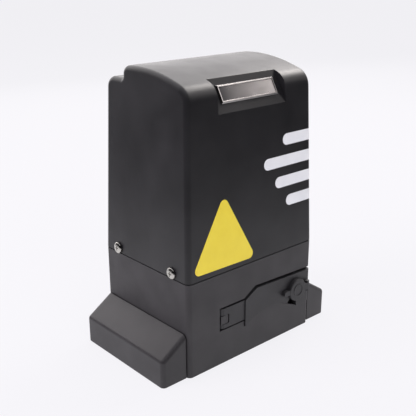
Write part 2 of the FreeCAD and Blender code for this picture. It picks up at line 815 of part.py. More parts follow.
def hood():
    """The moulded hood: a drafted shell with the pocket and the screw slots."""
    inner = hood_hollow()
    reach = FRONT_R * 2
    block = box(-POCKET_W / 2 - POCKET_WALL, POCKET_W / 2 + POCKET_WALL, -reach, reach * 2, 0, reach)
    inner = inner.cut(in_pocket(block, -POCKET_WALL))
    shell = hood_form().cut(inner)
    shell = shell.cut(in_pocket(box(-POCKET_W / 2, POCKET_W / 2, -reach, reach * 2, 0, reach), 0))
    slot_r = SCREW_R + SCREW_SLOT_GAP
    for y in (-SCREW_Y, SCREW_Y):
        slot = rod(slot_r, V(-BODY_W, y, SCREW_Z), X, 2 * BODY_W)
        slot = slot.fuse(box(-BODY_W, BODY_W, y - slot_r, y + slot_r, HOOD_LOW - 1, SCREW_Z))
        shell = shell.cut(slot)
    half = LIMIT_W / 2 + LIMIT_GAP
    shell = shell.cut(box(-half, half, LIMIT_FRONT, BODY_D, HOOD_LOW - 1, LIMIT_TOP + LIMIT_GAP))
    return shell


def badge_frame():
    """The bevelled bright frame on the pocket's slope."""
    low = BADGE_UP - BADGE_H / 2
    plate = box(-BADGE_W / 2, BADGE_W / 2, low, low + BADGE_H, 0, BADGE_T)
    rim = [e for e in plate.Edges if min(p.Point.z for p in e.Vertexes) > BADGE_T - 0.01]
    plate = plate.makeChamfer(BADGE_BEVEL, rim)
    sink = box(-BADGE_W / 2 + BADGE_RIM, BADGE_W / 2 - BADGE_RIM, low + BADGE_RIM, low + BADGE_H - BADGE_RIM,
               BADGE_T - BADGE_SINK, BADGE_T)
    return in_pocket(plate.cut(sink), 0)


def badge_face():
    """The thin face sheet sunk in the frame."""
    low = BADGE_UP - BADGE_H / 2
    edge = BADGE_RIM + RUN_GAP
    sheet = box(-BADGE_W / 2 + edge, BADGE_W / 2 - edge, low + edge, low + BADGE_H - edge, 0, BADGE_SINK / 2)
    return in_pocket(sheet, BADGE_T - BADGE_SINK)


def pan_head_screw(side, y):
    """A pan head screw with a cross recess, across one side of the seam."""
    flat = SCREW_HEAD_H - SCREW_HEAD_SLOPE
    head = rod(SCREW_HEAD_R, V(0, 0, 0), Z, flat)
    slope = Part.makeCone(SCREW_HEAD_R, SCREW_HEAD_R - SCREW_HEAD_EDGE, SCREW_HEAD_SLOPE, V(0, 0, flat))
    head = head.fuse(slope)
    cross = CROSS_L / 2
    for w, d in ((cross, CROSS_W / 2), (CROSS_W / 2, cross)):
        head = head.cut(box(-w, w, -d, d, SCREW_HEAD_H - CROSS_DEPTH, SCREW_HEAD_H))
    shank = rod(SCREW_R, V(0, 0, -SCREW_L), Z, SCREW_L)
    screw = head.fuse(shank)
    screw.rotate(V(0, 0, 0), Y, side * 90)
    screw.translate(V(side * (HALF_W + RUN_GAP), y, SCREW_Z))
    return screw


def hood_screws():
    """Two bright screws on each side, which hold the hood down."""
    return Part.makeCompound([pan_head_screw(s, y) for s in (-1, 1) for y in (-SCREW_Y, SCREW_Y)])


def seam_gasket():
    """The flat seal between the housing's rim and the hood's edge."""
    edge = GASKET_IN
    outer = rounded_block(-HALF_W + edge, HALF_W - edge, -HALF_D + edge, HALF_D - edge,
                          BASE_TOP, HOOD_LOW, EDGE_R - edge)
    wall = HOOD_WALL
    inner = rounded_block(-HALF_W + wall, HALF_W - wall, -HALF_D + wall, HALF_D - wall,
                          BASE_TOP, HOOD_LOW, EDGE_R - wall)
    return outer.cut(inner)


# Foot covers

def foot_form(inset):
    """The cover's form on the right side, or the same set in by its wall."""
    x0 = HALF_W + FOOT_GAP
    x1 = HALF_W + FOOT_OUT - inset
    half = HALF_D - FOOT_INSET - inset
    drop = inset * FOOT_DROP
    low = FOOT_LIFT - (1 if inset else 0)
    start = x0 - (1 if inset else 0)
    slope = (FOOT_TOP_Z - FOOT_RIDGE_Z) / FOOT_OUT
    points = [(start, low), (x1, low), (x1, FOOT_RIDGE_Z - drop + inset * slope),
              (start, FOOT_TOP_Z - drop - (start - HALF_W) * slope)]
    form = prism([(x, -half, z) for x, z in points], V(0, 2 * half, 0))
    ridge = [e for e in form.Edges if is_along(e, Y) and e.Vertexes[0].Point.x > x1 - 0.01
             and e.Vertexes[0].Point.z > low + 1]
    form = form.makeFillet(FOOT_R, ridge)
    ends = [e for e in form.Edges if all(abs(abs(p.Point.y) - half) < 0.01 for p in e.Vertexes)
            and not all(abs(p.Point.z - low) < 0.01 for p in e.Vertexes)
            and not all(abs(p.Point.x - start) < 0.01 for p in e.Vertexes)]
    return form.makeFillet(max(FOOT_R - inset, 1), ends)


def foot_cover(side):
    """One snap-on cover over an anchor ear, with two ribs that rest on the ear."""
    outer = foot_form(0)
    cover = outer.cut(foot_form(FOOT_WALL))
    for y in (-FOOT_RIB_Y, FOOT_RIB_Y):
        rib = box(HALF_W + FOOT_GAP, HALF_W + FOOT_OUT, y - FOOT_WALL / 2, y + FOOT_WALL / 2,
                  FLOOR_T + SEAT_GAP, FOOT_TOP_Z)
        cover = cover.fuse(rib.common(outer))
    cover = cover.removeSplitter()
    return cover if side > 0 else cover.mirror(V(0, 0, 0), X)


# Release lever, lock and dust cap

def cam_plate():
    """The spiral cam on the upper knuckle: its radius grows evenly with the angle."""
    points = []
    for i in range(CAM_STEPS + 1):
        angle = math.radians(90 + (CAM_END - 90) * i / CAM_STEPS)
        radius = CAM_R + CAM_LIFT * i / CAM_STEPS
        points.append(V(radius * math.cos(angle), radius * math.sin(angle), 0))
    curve = Part.BSplineCurve()
    curve.interpolate(points)
    start = math.radians(CAM_START)
    first = V(CAM_R * math.cos(start), CAM_R * math.sin(start), 0)
    lines = [Part.makeLine(points[-1], V(0, 0, 0)), Part.makeLine(V(0, 0, 0), first),
             Part.makeLine(first, points[0])]
    face = Part.Face(Part.Wire([curve.toShape()] + lines))
    cam = face.extrude(V(0, 0, CAM_HIGH - CAM_LOW))
    cam.translate(V(HINGE_X, HINGE_Y, CAM_LOW))
    return cam


def release_lever():
    """The lever: a flush arm with two knuckles and a cam, and the proud plate."""
    arm = box(HINGE_X, STEP_X + 1, FRONT_Y, FRONT_Y + ARM_T, ARM_LOW, ARM_HIGH)
    plate = plate_outline(0, 0, PLATE_RIGHT)
    plate.translate(V(0, FRONT_Y - PLATE_PROUD, 0))
    plate = plate.extrude(V(0, PLATE_T, 0))
    corner = [e for e in plate.Edges if is_along(e, Z) and e.Vertexes[0].Point.x > PLATE_RIGHT - 0.01
              and e.Vertexes[0].Point.y < FRONT_Y]
    plate = plate.makeFillet(PLATE_END_R, corner)
    knuckle = rod(KNUCKLE_R, V(HINGE_X, HINGE_Y, ARM_LOW), Z, ARM_HIGH - ARM_LOW)
    lever = fuse_all([arm, plate, knuckle])
    gap = KNUCKLE_GAP
    room = box(HINGE_X - KNUCKLE_R - 1, HINGE_X + KNUCKLE_W + KNUCKLE_SIDE_GAP,
               FRONT_Y - 1, FRONT_Y + ARM_POCKET_DEPTH, KNUCKLE_LOW - gap, KNUCKLE_HIGH + gap)
    lever = lever.cut(room).fuse(cam_plate())
    lever = lever.cut([hinge_bore(PIN_R + RUN_GAP), lock_bore(LOCK_R + RUN_GAP)])
    lever = lever.fuse(cap_ears())
    return lever.removeSplitter()


def lock_bore(radius):
    """The bore for the lock barrel through the lever's plate."""
    return rod(radius, V(LOCK_X, FRONT_Y - PLATE_PROUD, LOCK_Z), Y, PLATE_T)


def cap_hinge_y():
    """How far forward the dust cap's hinge axis lies."""
    return FRONT_Y - PLATE_PROUD - CAP_HINGE_R - CAP_LIFT


def cap_ears():
    """The two ears on the plate's right end that hold the dust cap's pin."""
    ears = []
    for z in (LOCK_Z - CAP_HINGE_W / 2 - CAP_EAR_T, LOCK_Z + CAP_HINGE_W / 2):
        ear = rod(CAP_HINGE_R, V(CAP_HINGE_X, cap_hinge_y(), z), Z, CAP_EAR_T)
        foot = box(CAP_HINGE_X - CAP_HINGE_R, CAP_HINGE_X, cap_hinge_y(), FRONT_Y - PLATE_PROUD + 1,
                   z, z + CAP_EAR_T)
        ear = ear.fuse(foot)
        ears.append(ear.cut(rod(CAP_PIN_R, V(CAP_HINGE_X, cap_hinge_y(), z), Z, CAP_EAR_T)))
    return ears


def cap_pin():
    """The dust cap's hinge pin, held in the ears."""
    length = CAP_HINGE_W + 2 * CAP_EAR_T
    return rod(CAP_PIN_R, V(CAP_HINGE_X, cap_hinge_y(), LOCK_Z - length / 2), Z, length)


def hinge_pin():
    """The release lever's vertical pin, tight in the housing's knuckle."""
    return rod(PIN_R, V(HINGE_X, HINGE_Y, ARM_LOW), Z, ARM_HIGH - ARM_LOW)


def dust_cap():
    """The round cap over the keyhole, with a finger tab and a hinge lobe."""
    back = FRONT_Y - PLATE_PROUD - CAP_LIFT
    centre = V(LOCK_X, back - CAP_T, LOCK_Z)
    disc = rod(CAP_R, centre, Y, CAP_T)
    level = [e for e in disc.Edges if abs(e.Vertexes[0].Point.y - centre.y) < 0.01]
    rim = [e for e in level if e.Curve.TypeId == "Part::GeomCircle"]
    disc = disc.makeChamfer(CAP_CHAMFER, rim)
    tab_end = V(CAP_TAB_TIP + CAP_TAB_W / 2, centre.y + CAP_CHAMFER, LOCK_Z)
    tab = rod(CAP_TAB_W / 2, tab_end, Y, CAP_T - CAP_CHAMFER)
    tab = tab.fuse(box(tab_end.x, LOCK_X, tab_end.y, back, LOCK_Z - CAP_TAB_W / 2, LOCK_Z + CAP_TAB_W / 2))
    half = CAP_HINGE_W / 2 - RUN_GAP * 2
    lobe = rod(CAP_HINGE_R, V(CAP_HINGE_X, cap_hinge_y(), LOCK_Z - half), Z, 2 * half)
    strap = box(LOCK_X, CAP_HINGE_X, cap_hinge_y() - CAP_HINGE_R, cap_hinge_y() + CAP_HINGE_R,
                LOCK_Z - half, LOCK_Z + half)
    cap = fuse_all([disc, tab, lobe, strap])
    cap = cap.cut(rod(CAP_PIN_R + RUN_GAP, V(CAP_HINGE_X, cap_hinge_y(), LOCK_Z - half), Z, 2 * half))
    raised = ring(CAP_RING_R, CAP_RING_R - CAP_RING_W, centre - V(0, CAP_RING_H, 0), Y, CAP_RING_H)
    return cap.fuse(raised).removeSplitter()


def lock_barrel():
    """The lock cylinder with its keyhole."""
    front = FRONT_Y - PLATE_PROUD
    barrel = rod(LOCK_R, V(LOCK_X, front, LOCK_Z), Y, LOCK_LENGTH)
    key = box(LOCK_X - KEY_L / 2, LOCK_X + KEY_L / 2, front, front + KEY_DEPTH,
              LOCK_Z - KEY_W / 2, LOCK_Z + KEY_W / 2)
    return barrel.cut(key)


def lock_cam():
    """The flat cam on the barrel's back, which hooks behind the front wall."""
    y = FRONT_Y - PLATE_PROUD + LOCK_LENGTH
    tongue = box(LOCK_X - LOCK_CAM_L, LOCK_X, y, y + LOCK_CAM_T,
                 LOCK_Z - LOCK_CAM_W / 2, LOCK_Z + LOCK_CAM_W / 2)
    tongue = tongue.fuse(rod(LOCK_CAM_W / 2, V(LOCK_X, y, LOCK_Z), Y, LOCK_CAM_T))
    nut = rod(LOCK_R / 2, V(LOCK_X, y, LOCK_Z), Y, 2 * LOCK_CAM_T)
    return tongue.fuse(nut).removeSplitter()


# Output shaft and pinion

def output_shaft():
    """The stepped shaft: journals, splines for the clutch, collar and pinion seat."""
    end = REAR_Y + PINION_OFF + PINION_W - SHAFT_SHORT
    shaft = rod(SHAFT_R, V(0, SHAFT_FRONT, SHAFT_Z), Y, end - SHAFT_FRONT)
    spline_y = clutch_face() + RUN_GAP
    length = REAR_BEARING_Y - spline_y
    for i in range(SPLINE_COUNT):
        bar = box(-SPLINE_W / 2, SPLINE_W / 2, spline_y, spline_y + length, SHAFT_Z, SHAFT_Z + SPLINE_R)
        bar.rotate(V(0, 0, SHAFT_Z), Y, 360 * i / SPLINE_COUNT)
        shaft = shaft.fuse(bar)
    collar = rod(SHAFT_COLLAR_R, V(0, REAR_Y + RUN_GAP, SHAFT_Z), Y, PINION_OFF - RUN_GAP)
    shaft = shaft.fuse(collar)
    shaft = shaft.cut(rod(BOLT_R, V(0, end - BOLT_L, SHAFT_Z), Y, BOLT_L))
    return shaft.cut(key_block(0)).removeSplitter()


def key_block(gap):
    """The square key between shaft and pinion, or the room that it takes."""
    y0 = REAR_Y + PINION_OFF + KEY_IN
    half = KEY_SIZE / 2 - gap
    low = SHAFT_Z + SHAFT_R - KEY_SIZE / 2 + gap
    return box(-half, half, y0, y0 + PINION_W - 3 * KEY_IN, low, SHAFT_Z + SHAFT_R + KEY_SIZE / 2 - gap)


def involute_flank(pitch_r, base_r, radius, half_angle):
    """The angle from a tooth's middle to its flank at a radius."""
    if radius < base_r:
        radius = base_r
    spread = math.acos(base_r / radius)
    pitch_spread = math.acos(base_r / pitch_r)
    return half_angle + (math.tan(pitch_spread) - pitch_spread) - (math.tan(spread) - spread)


def polar(radius, angle):
    """A point of a gear's outline round the Y axis."""
    return V(radius * math.sin(angle), 0, radius * math.cos(angle))


def pinion():
    """The rack pinion, with involute flanks."""
    pitch_r = PINION_MODULE * PINION_TEETH / 2
    base_r = pitch_r * math.cos(PRESSURE)
    tip_r = pitch_r + PINION_MODULE
    root_r = pitch_r - ROOT_SHARE * PINION_MODULE
    half = math.pi / (2 * PINION_TEETH)
    mid_r = (base_r + tip_r) / 2
    a_root = involute_flank(pitch_r, base_r, root_r, half)
    a_mid = involute_flank(pitch_r, base_r, mid_r, half)
    a_tip = involute_flank(pitch_r, base_r, tip_r, half)
    edges = []
    for i in range(PINION_TEETH):
        c = 2 * math.pi * i / PINION_TEETH
        n = c + 2 * math.pi / PINION_TEETH
        foot_a, start_a = polar(root_r, c - a_root), polar(base_r, c - a_root)
        tip_a, tip_b = polar(tip_r, c - a_tip), polar(tip_r, c + a_tip)
        start_b, foot_b = polar(base_r, c + a_root), polar(root_r, c + a_root)
        edges.append(Part.makeLine(foot_a, start_a))
        edges.append(Part.Arc(start_a, polar(mid_r, c - a_mid), tip_a).toShape())
        edges.append(Part.makeLine(tip_a, tip_b))
        edges.append(Part.Arc(tip_b, polar(mid_r, c + a_mid), start_b).toShape())
        edges.append(Part.makeLine(start_b, foot_b))
        edges.append(Part.makeLine(foot_b, polar(root_r, n - a_root)))
    gear = Part.Face(Part.Wire(edges)).extrude(V(0, PINION_W, 0))
    gear.translate(V(0, REAR_Y + PINION_OFF, SHAFT_Z))
    bore = rod(SHAFT_R + RUN_GAP / 2, V(0, REAR_Y + PINION_OFF, SHAFT_Z), Y, PINION_W)
    slot = key_block(-RUN_GAP)
    slot = slot.fuse(slot.translated(V(0, 3 * KEY_IN, 0))).fuse(slot.translated(V(0, -3 * KEY_IN, 0)))
    return gear.cut([bore, slot])


def pinion_bolt():
    """The hexagon bolt in the shaft's end, with the thick washer that keeps the pinion on."""
    seat = REAR_Y + PINION_OFF + PINION_W
    washer = ring(WASHER_R, BOLT_R + RUN_GAP, V(0, seat, SHAFT_Z), Y, WASHER_T)
    y = REAR_Y + PINION_OFF + PINION_W + WASHER_T
    corners = [polar(BOLT_HEAD_R, math.radians(60 * i)) + V(0, y, SHAFT_Z) for i in range(6)]
    head = Part.Face(Part.makePolygon(corners + corners[:1])).extrude(V(0, BOLT_HEAD_H, 0))
    bolt = head.fuse(rod(BOLT_R - RUN_GAP, V(0, y - BOLT_L + 1, SHAFT_Z), Y, BOLT_L - 1))
    return Part.makeCompound([washer, bolt])


def shaft_bearings():
    """The two ball bearings on the output shaft, each as one closed ring."""
    return Part.makeCompound([ring(BEARING_R, SHAFT_R + RUN_GAP, V(0, y, SHAFT_Z), Y, BEARING_T)
                              for y in (FRONT_BEARING_Y, REAR_BEARING_Y)])


def shaft_seal():
    """The lip seal in the rear wall."""
    return ring(SEAL_R, SHAFT_R + RUN_GAP, V(0, REAR_Y - SEAL_T, SHAFT_Z), Y, SEAL_T)


# Worm wheel, worm and motor

def wheel_section(turn):
    """The wheel's tooth outline at one end, turned to follow the worm's lead."""
    pitch_r = WHEEL_PITCH_R
    tip_r = pitch_r + WORM_MODULE
    root_r = pitch_r - WORM_MODULE - MESH_ROOT_GAP
    slope = math.tan(PRESSURE)
    tip_half = (WHEEL_TOOTH / 2 - WORM_MODULE * slope) / tip_r
    root_half = (WHEEL_TOOTH / 2 + (pitch_r - root_r) * slope) / root_r
    points = []
    for i in range(WHEEL_TEETH):
        c = 2 * math.pi * (i + 0.5) / WHEEL_TEETH + math.pi / 2 + turn
        points += [polar(root_r, c - root_half), polar(tip_r, c - tip_half)]
        points += [polar(tip_r, c + tip_half), polar(root_r, c + root_half)]
    return points


def worm_wheel():
    """The bronze wheel: slanted teeth, a web, and a hub with dogs on its rear face."""
    twist = WHEEL_W / 2 * lead_slope() / WHEEL_PITCH_R
    wires = []
    for end in (-1, 1):
        points = [p + V(0, WHEEL_Y + end * WHEEL_W / 2, SHAFT_Z) for p in wheel_section(end * twist)]
        wires.append(Part.makePolygon(points + points[:1]))
    wheel = Part.makeLoft(wires, True, True)
    depth = (WHEEL_W - WHEEL_WEB_T) / 2
    for y in (WHEEL_Y - WHEEL_W / 2, WHEEL_Y + WHEEL_W / 2 - depth):
        wheel = wheel.cut(rod(WHEEL_RIM_R, V(0, y, SHAFT_Z), Y, depth))
    hub = rod(WHEEL_HUB_R, V(0, WHEEL_Y - WHEEL_HUB_L / 2, SHAFT_Z), Y, WHEEL_HUB_L)
    wheel = wheel.fuse(hub)
    face = WHEEL_Y + WHEEL_HUB_L / 2
    collar = rod(DOG_R, V(0, face - DOG_COLLAR_T, SHAFT_Z), Y, DOG_COLLAR_T)
    wheel = wheel.fuse([collar] + dogs(face, 0))
    return wheel.cut(rod(SHAFT_R + RUN_GAP, V(0, FRONT_Y, SHAFT_Z), Y, BODY_D))


def lead_slope():
    """How far the worm's thread climbs for each millimetre round its pitch circle."""
    return WORM_PITCH / (2 * math.pi * WORM_PITCH_R)


def dogs(y, turn):
    """A ring of clutch dogs that stand up by their height from a face."""
    pieces = []
    for i in range(DOG_COUNT):
        sector = Part.makeCylinder(DOG_R, DOG_H, V(0, y, SHAFT_Z), Y, DOG_ANGLE)
        inner = rod(SPLINE_R + 1, V(0, y, SHAFT_Z), Y, DOG_H)
        sector = sector.cut(inner)
        sector.rotate(V(0, 0, SHAFT_Z), Y, turn + 360 * i / DOG_COUNT)
        pieces.append(sector)
    return pieces


def clutch_face():
    """Where the sleeve's dogs end: just short of the wheel's face."""
    return WHEEL_Y + WHEEL_HUB_L / 2 + SEAT_GAP


def clutch_sleeve():
    """The sliding sleeve: dogs in front, a groove for the fork, splines inside."""
    body_y = clutch_face() + DOG_H + SEAT_GAP
    body = rod(SLEEVE_R, V(0, body_y, SHAFT_Z), Y, SLEEVE_L)
    groove = ring(SLEEVE_R + 1, GROOVE_R, V(0, GROOVE_Y, SHAFT_Z), Y, GROOVE_W)
    body = body.cut(groove)
    room = [rod(SHAFT_R + SPLINE_GAP, V(0, clutch_face() - 1, SHAFT_Z), Y, SLEEVE_L + 3 * DOG_H)]
    half = SPLINE_W / 2 + SPLINE_GAP
    for i in range(SPLINE_COUNT):
        bar = box(-half, half, clutch_face() - 1, body_y + SLEEVE_L + 1,
                  SHAFT_Z, SHAFT_Z + SPLINE_R + SPLINE_GAP)
        bar.rotate(V(0, 0, SHAFT_Z), Y, 360 * i / SPLINE_COUNT)
        room.append(bar)
    teeth = dogs(clutch_face(), 180 / DOG_COUNT)
    reach = [t.fuse(t.translated(V(0, SEAT_GAP, 0))) for t in teeth]
    return body.fuse(reach).cut(room).removeSplitter()


def coil_spring(radius, wire, turns, start, length):
    """A compression spring along Y, lofted through flat-sided sections of its wire."""
    pitch = (length - wire) / turns
    sections = []
    for i in range(turns * COIL_STEPS + 1):
        turn = i / COIL_STEPS
        angle = 2 * math.pi * turn
        out = V(math.cos(angle), 0, math.sin(angle))
        centre = start + out * radius + V(0, wire / 2 + pitch * turn, 0)
        corners = []
        for k in range(COIL_SIDES):
            side = 2 * math.pi * k / COIL_SIDES
            corners.append(centre + out * (math.cos(side) * wire / 2) + V(0, math.sin(side) * wire / 2, 0))
        sections.append(Part.makePolygon(corners + corners[:1]))
    return Part.makeLoft(sections, True, True)


def clutch_spring():
    """The spring that pushes the sleeve back into mesh."""
    start = clutch_face() + DOG_H + SEAT_GAP + SLEEVE_L
    length = REAR_BEARING_Y - start - SEAT_GAP
    return coil_spring(SPRING_R, SPRING_WIRE, SPRING_TURNS, V(0, start, SHAFT_Z), length)


def release_fork():
    """The rod that follows the lever's cam, with the fork that moves the sleeve."""
    nose = HINGE_Y + CAM_R + CAM_GAP
    tip = Part.makeCone(ROD_NOSE_R, ROD_R, ROD_R, V(HINGE_X, nose, ROD_Z), Y)
    bar = rod(ROD_R, V(HINGE_X, nose + ROD_R, ROD_Z), Y, ROD_END - nose - ROD_R)
    y = GROOVE_Y + (GROOVE_W - FORK_T) / 2
    hub = rod(ROD_BOSS_R, V(HINGE_X, y, ROD_Z), Y, FORK_T)
    half_ring = ring(FORK_OUT_R, GROOVE_R + SEAT_GAP, V(0, y, SHAFT_Z), Y, FORK_T)
    half_ring = half_ring.common(box(-FORK_OUT_R, 0, y, y + FORK_T, 0, DECK_Z))
    web = box(HINGE_X, -(GROOVE_R + SLEEVE_R) / 2 - 1, y, y + FORK_T,
              SHAFT_Z - ROD_BOSS_R, ROD_Z + ROD_BOSS_R)
    return fuse_all([bar, tip, hub, half_ring, web])


def worm_root():
    """The radius of the worm's core between its threads."""
    return WORM_PITCH_R - WORM_MODULE - MESH_ROOT_GAP / 2


def worm_thread():
    """The single thread, lofted through flat sections of its tooth."""
    slope = math.tan(PRESSURE)
    sunk_r = worm_root() - THREAD_SUNK
    tip_r = WORM_PITCH_R + WORM_MODULE
    foot = WORM_TOOTH / 2 + (WORM_PITCH_R - sunk_r) * slope
    tip = WORM_TOOTH / 2 - WORM_MODULE * slope
    sections = []
    for i in range(WORM_TURNS * THREAD_STEPS + 1):
        turn = i / THREAD_STEPS
        angle = math.pi + 2 * math.pi * turn
        out = V(math.cos(angle), math.sin(angle), 0)
        centre = V(WORM_X, WHEEL_Y, worm_low() + WORM_PITCH * turn)
        profile = ((sunk_r, -foot), (tip_r, -tip), (tip_r, tip), (sunk_r, foot))
        corners = [centre + out * r + Z * h for r, h in profile]
        sections.append(Part.makePolygon(corners + corners[:1]))
    return Part.makeLoft(sections, True, True)


def worm_shaft():
    """The single-start worm on the motor's shaft, with its journals."""
    low = worm_low()
    length = WORM_PITCH * WORM_TURNS
    core = rod(worm_root(), V(WORM_X, WHEEL_Y, low - WORM_NECK), Z, length + 2 * WORM_NECK)
    journal = rod(WORM_JOURNAL_R, V(WORM_X, WHEEL_Y, low - JOURNAL_L), Z, JOURNAL_L)
    top = rod(WORM_UPPER_R, V(WORM_X, WHEEL_Y, low + length), Z, motor_top() - low - length)
    return core.fuse([worm_thread(), journal, top])


def motor_top():
    """The height of the motor housing's upper rim."""
    return DECK_TOP + FLANGE_T + MOTOR_H


def worm_bearings():
    """The bearing under the worm, on the floor's boss, and the one above it, in the deck."""
    low = V(WORM_X, WHEEL_Y, worm_low() - JOURNAL_L)
    high = V(WORM_X, WHEEL_Y, DECK_TOP - HIGH_BEARING_T)
    return Part.makeCompound([
        ring(LOW_BEARING_R, WORM_JOURNAL_R + RUN_GAP, low, Z, LOW_BEARING_T),
        ring(HIGH_BEARING_R, WORM_UPPER_R + RUN_GAP, high, Z, HIGH_BEARING_T)])


def motor_flange():
    """The motor's mounting flange on the deck."""
    start = V(WORM_X, WHEEL_Y, DECK_TOP)
    return ring(FLANGE_R, WORM_UPPER_R + FLANGE_BORE_GAP, start, Z, FLANGE_T)


def motor_housing():
    """The ribbed can round the stator."""
    start = V(WORM_X, WHEEL_Y, DECK_TOP + FLANGE_T)
    can = rod(MOTOR_R, start, Z, MOTOR_H)
    for i in range(FIN_COUNT):
        groove = box(MOTOR_R - FIN_DEPTH, MOTOR_R + 1, -FIN_W / 2, FIN_W / 2, FIN_IN, MOTOR_H - FIN_IN)
        groove.rotate(V(0, 0, 0), Z, 360 * i / FIN_COUNT)
        groove.translate(start)
        can = can.cut(groove)
    return can.cut(rod(MOTOR_R - FIN_DEPTH - MOTOR_WALL, start, Z, MOTOR_H))


def stator():
    """The laminated stator pressed in the can."""
    start = V(WORM_X, WHEEL_Y, DECK_TOP + FLANGE_T + STATOR_UP)
    outer = MOTOR_R - FIN_DEPTH - MOTOR_WALL
    return ring(outer, ROTOR_R + STATOR_GAP, start, Z, ROTOR_H)


def windings():
    """The copper end windings above and below the stator."""
    low = DECK_TOP + FLANGE_T + STATOR_UP
    outer = MOTOR_R - FIN_DEPTH - MOTOR_WALL - WINDING_IN
    inner = ROTOR_R + WINDING_ROTOR_GAP
    coils = []
    for z in (low - WINDING_H, low + ROTOR_H):
        coils.append(ring(outer, inner, V(WORM_X, WHEEL_Y, z), Z, WINDING_H))
    return Part.makeCompound(coils)


def rotor():
    """The rotor pack on the worm shaft."""
    start = V(WORM_X, WHEEL_Y, DECK_TOP + FLANGE_T + STATOR_UP)
    return ring(ROTOR_R, WORM_UPPER_R, start, Z, ROTOR_H)


def motor_end_cap():
    """The domed cap on the motor, with the upper shaft bearing seat."""
    start = V(WORM_X, WHEEL_Y, motor_top())
    cap = rod(MOTOR_R, start, Z, END_CAP_H)
    cap = cap.makeChamfer(END_CAP_EDGE, round_edges_above(cap, start.z + END_CAP_H / 2))
    return cap.cut(rod(MOTOR_R - FIN_DEPTH - MOTOR_WALL, start, Z, END_CAP_H - END_CAP_T))


# Deck plate and what stands on it

def deck_plate():
    """The plate that closes the gear chamber and carries the motor."""
    left = BAY_RIGHT
    right = HALF_W - RIM_WALL - DECK_GAP
    half = HALF_D - RIM_WALL - DECK_GAP
    plate = rounded_block(left, right, -half, half, DECK_Z, DECK_TOP, CAVITY_R - DECK_GAP)
    boss = rod(HIGH_BEARING_R + BOSS_EDGE, V(WORM_X, WHEEL_Y, DECK_TOP - HIGH_BEARING_T - BOSS_EDGE), Z,
               HIGH_BEARING_T + BOSS_EDGE)
    plate = plate.fuse(boss)
    plate = plate.cut(rod(HIGH_BEARING_R, V(WORM_X, WHEEL_Y, DECK_TOP - HIGH_BEARING_T), Z, HIGH_BEARING_T))
    plate = plate.cut(rod(WORM_PITCH_R + WORM_MODULE + 1, V(WORM_X, WHEEL_Y, DECK_Z - DECK_T), Z, DECK_T))
    for x, y in deck_screw_places():
        plate = plate.cut(rod(DECK_SCREW_R + DECK_SCREW_GAP, V(x, y, DECK_Z), Z, DECK_T))
    return plate


def hexagon(x, y, z, radius, height):
    """A six-sided head that stands on a level face."""
    corners = []
    for angle in [math.pi / 3 * i for i in range(6)]:
        corners.append(V(x + radius * math.cos(angle), y + radius * math.sin(angle), z))
    return Part.Face(Part.makePolygon(corners + corners[:1])).extrude(V(0, 0, height))


def cap_screws():
    """The hexagon screws at the deck's corners and the motor's four through-bolt heads."""
    screws = []
    for x, y in deck_screw_places():
        head = hexagon(x, y, DECK_TOP, DECK_SCREW_HEAD_R, DECK_SCREW_HEAD_H)
        shank = rod(DECK_SCREW_R - RUN_GAP, V(x, y, DECK_TOP - DECK_SCREW_L), Z, DECK_SCREW_L)
        screws.append(head.fuse(shank))
    for i in range(MOTOR_BOLTS):
        angle = math.radians(45 + 360 * i / MOTOR_BOLTS)
        r = MOTOR_R - MOTOR_BOLT_IN
        x, y = WORM_X + r * math.cos(angle), WHEEL_Y + r * math.sin(angle)
        screws.append(hexagon(x, y, motor_top() + END_CAP_H, MOTOR_BOLT_R, MOTOR_BOLT_H))
    return Part.makeCompound(screws)


def oil_plug():
    """The hexagon plug of the gear chamber's oil filler."""
    return hexagon(OIL_PLUG_X, OIL_PLUG_Y, DECK_TOP, OIL_PLUG_R, OIL_PLUG_H)


def capacitor():
    """The motor's run capacitor, upright behind the motor."""
    start = V(CAP_CAN_X, CAP_CAN_Y, DECK_TOP)
    can = rod(CAP_CAN_R, start, Z, CAP_CAN_H)
    can = can.makeChamfer(CAP_CAN_EDGE, round_edges_above(can, start.z + CAP_CAN_H / 2))
    top_z = DECK_TOP + CAP_CAN_H
    left, right = CAP_CAN_X - TAB_W / 2, CAP_CAN_X + TAB_W / 2
    tabs = [box(left, right, y - TAB_T / 2, y + TAB_T / 2, top_z, top_z + TAB_H)
            for y in (CAP_CAN_Y - TAB_APART / 2, CAP_CAN_Y + TAB_APART / 2)]
    return can.fuse(tabs)


def capacitor_clip():
    """The strap round the capacitor, with its foot on the deck."""
    start = V(CAP_CAN_X, CAP_CAN_Y, DECK_TOP + CLIP_UP)
    band = ring(CAP_CAN_R + CLIP_T, CAP_CAN_R, start, Z, CLIP_H)
    x = CAP_CAN_X - CAP_CAN_R - CLIP_T
    leg = box(x - CLIP_T, x + CLIP_T / 2, CAP_CAN_Y - CLIP_W / 2, CAP_CAN_Y + CLIP_W / 2, DECK_TOP,
              DECK_TOP + CLIP_UP + CLIP_H)
    leg = leg.cut(rod(CAP_CAN_R + CLIP_T / 2, V(CAP_CAN_X, CAP_CAN_Y, DECK_TOP), Z, CLIP_UP + CLIP_H))
    foot = box(x - CLIP_FOOT, x, CAP_CAN_Y - CLIP_W / 2, CAP_CAN_Y + CLIP_W / 2, DECK_TOP, DECK_TOP + CLIP_T)
    return fuse_all([band, leg, foot])


def transformer_core():
    """The stack of laminations round the coil, on two feet."""
    x0, x1 = CORE_X - CORE_W / 2, CORE_X + CORE_W / 2
    y0, y1 = CORE_Y - CORE_D / 2, CORE_Y + CORE_D / 2
    core = box(x0, x1, y0, y1, DECK_TOP, DECK_TOP + CORE_H)
    side = (CORE_W - COIL_W) / 2
    end = (CORE_H - COIL_H) / 2
    window = box(x0 + side, x1 - side, y0, y1, DECK_TOP + end, DECK_TOP + CORE_H - end)
    return core.cut(window)


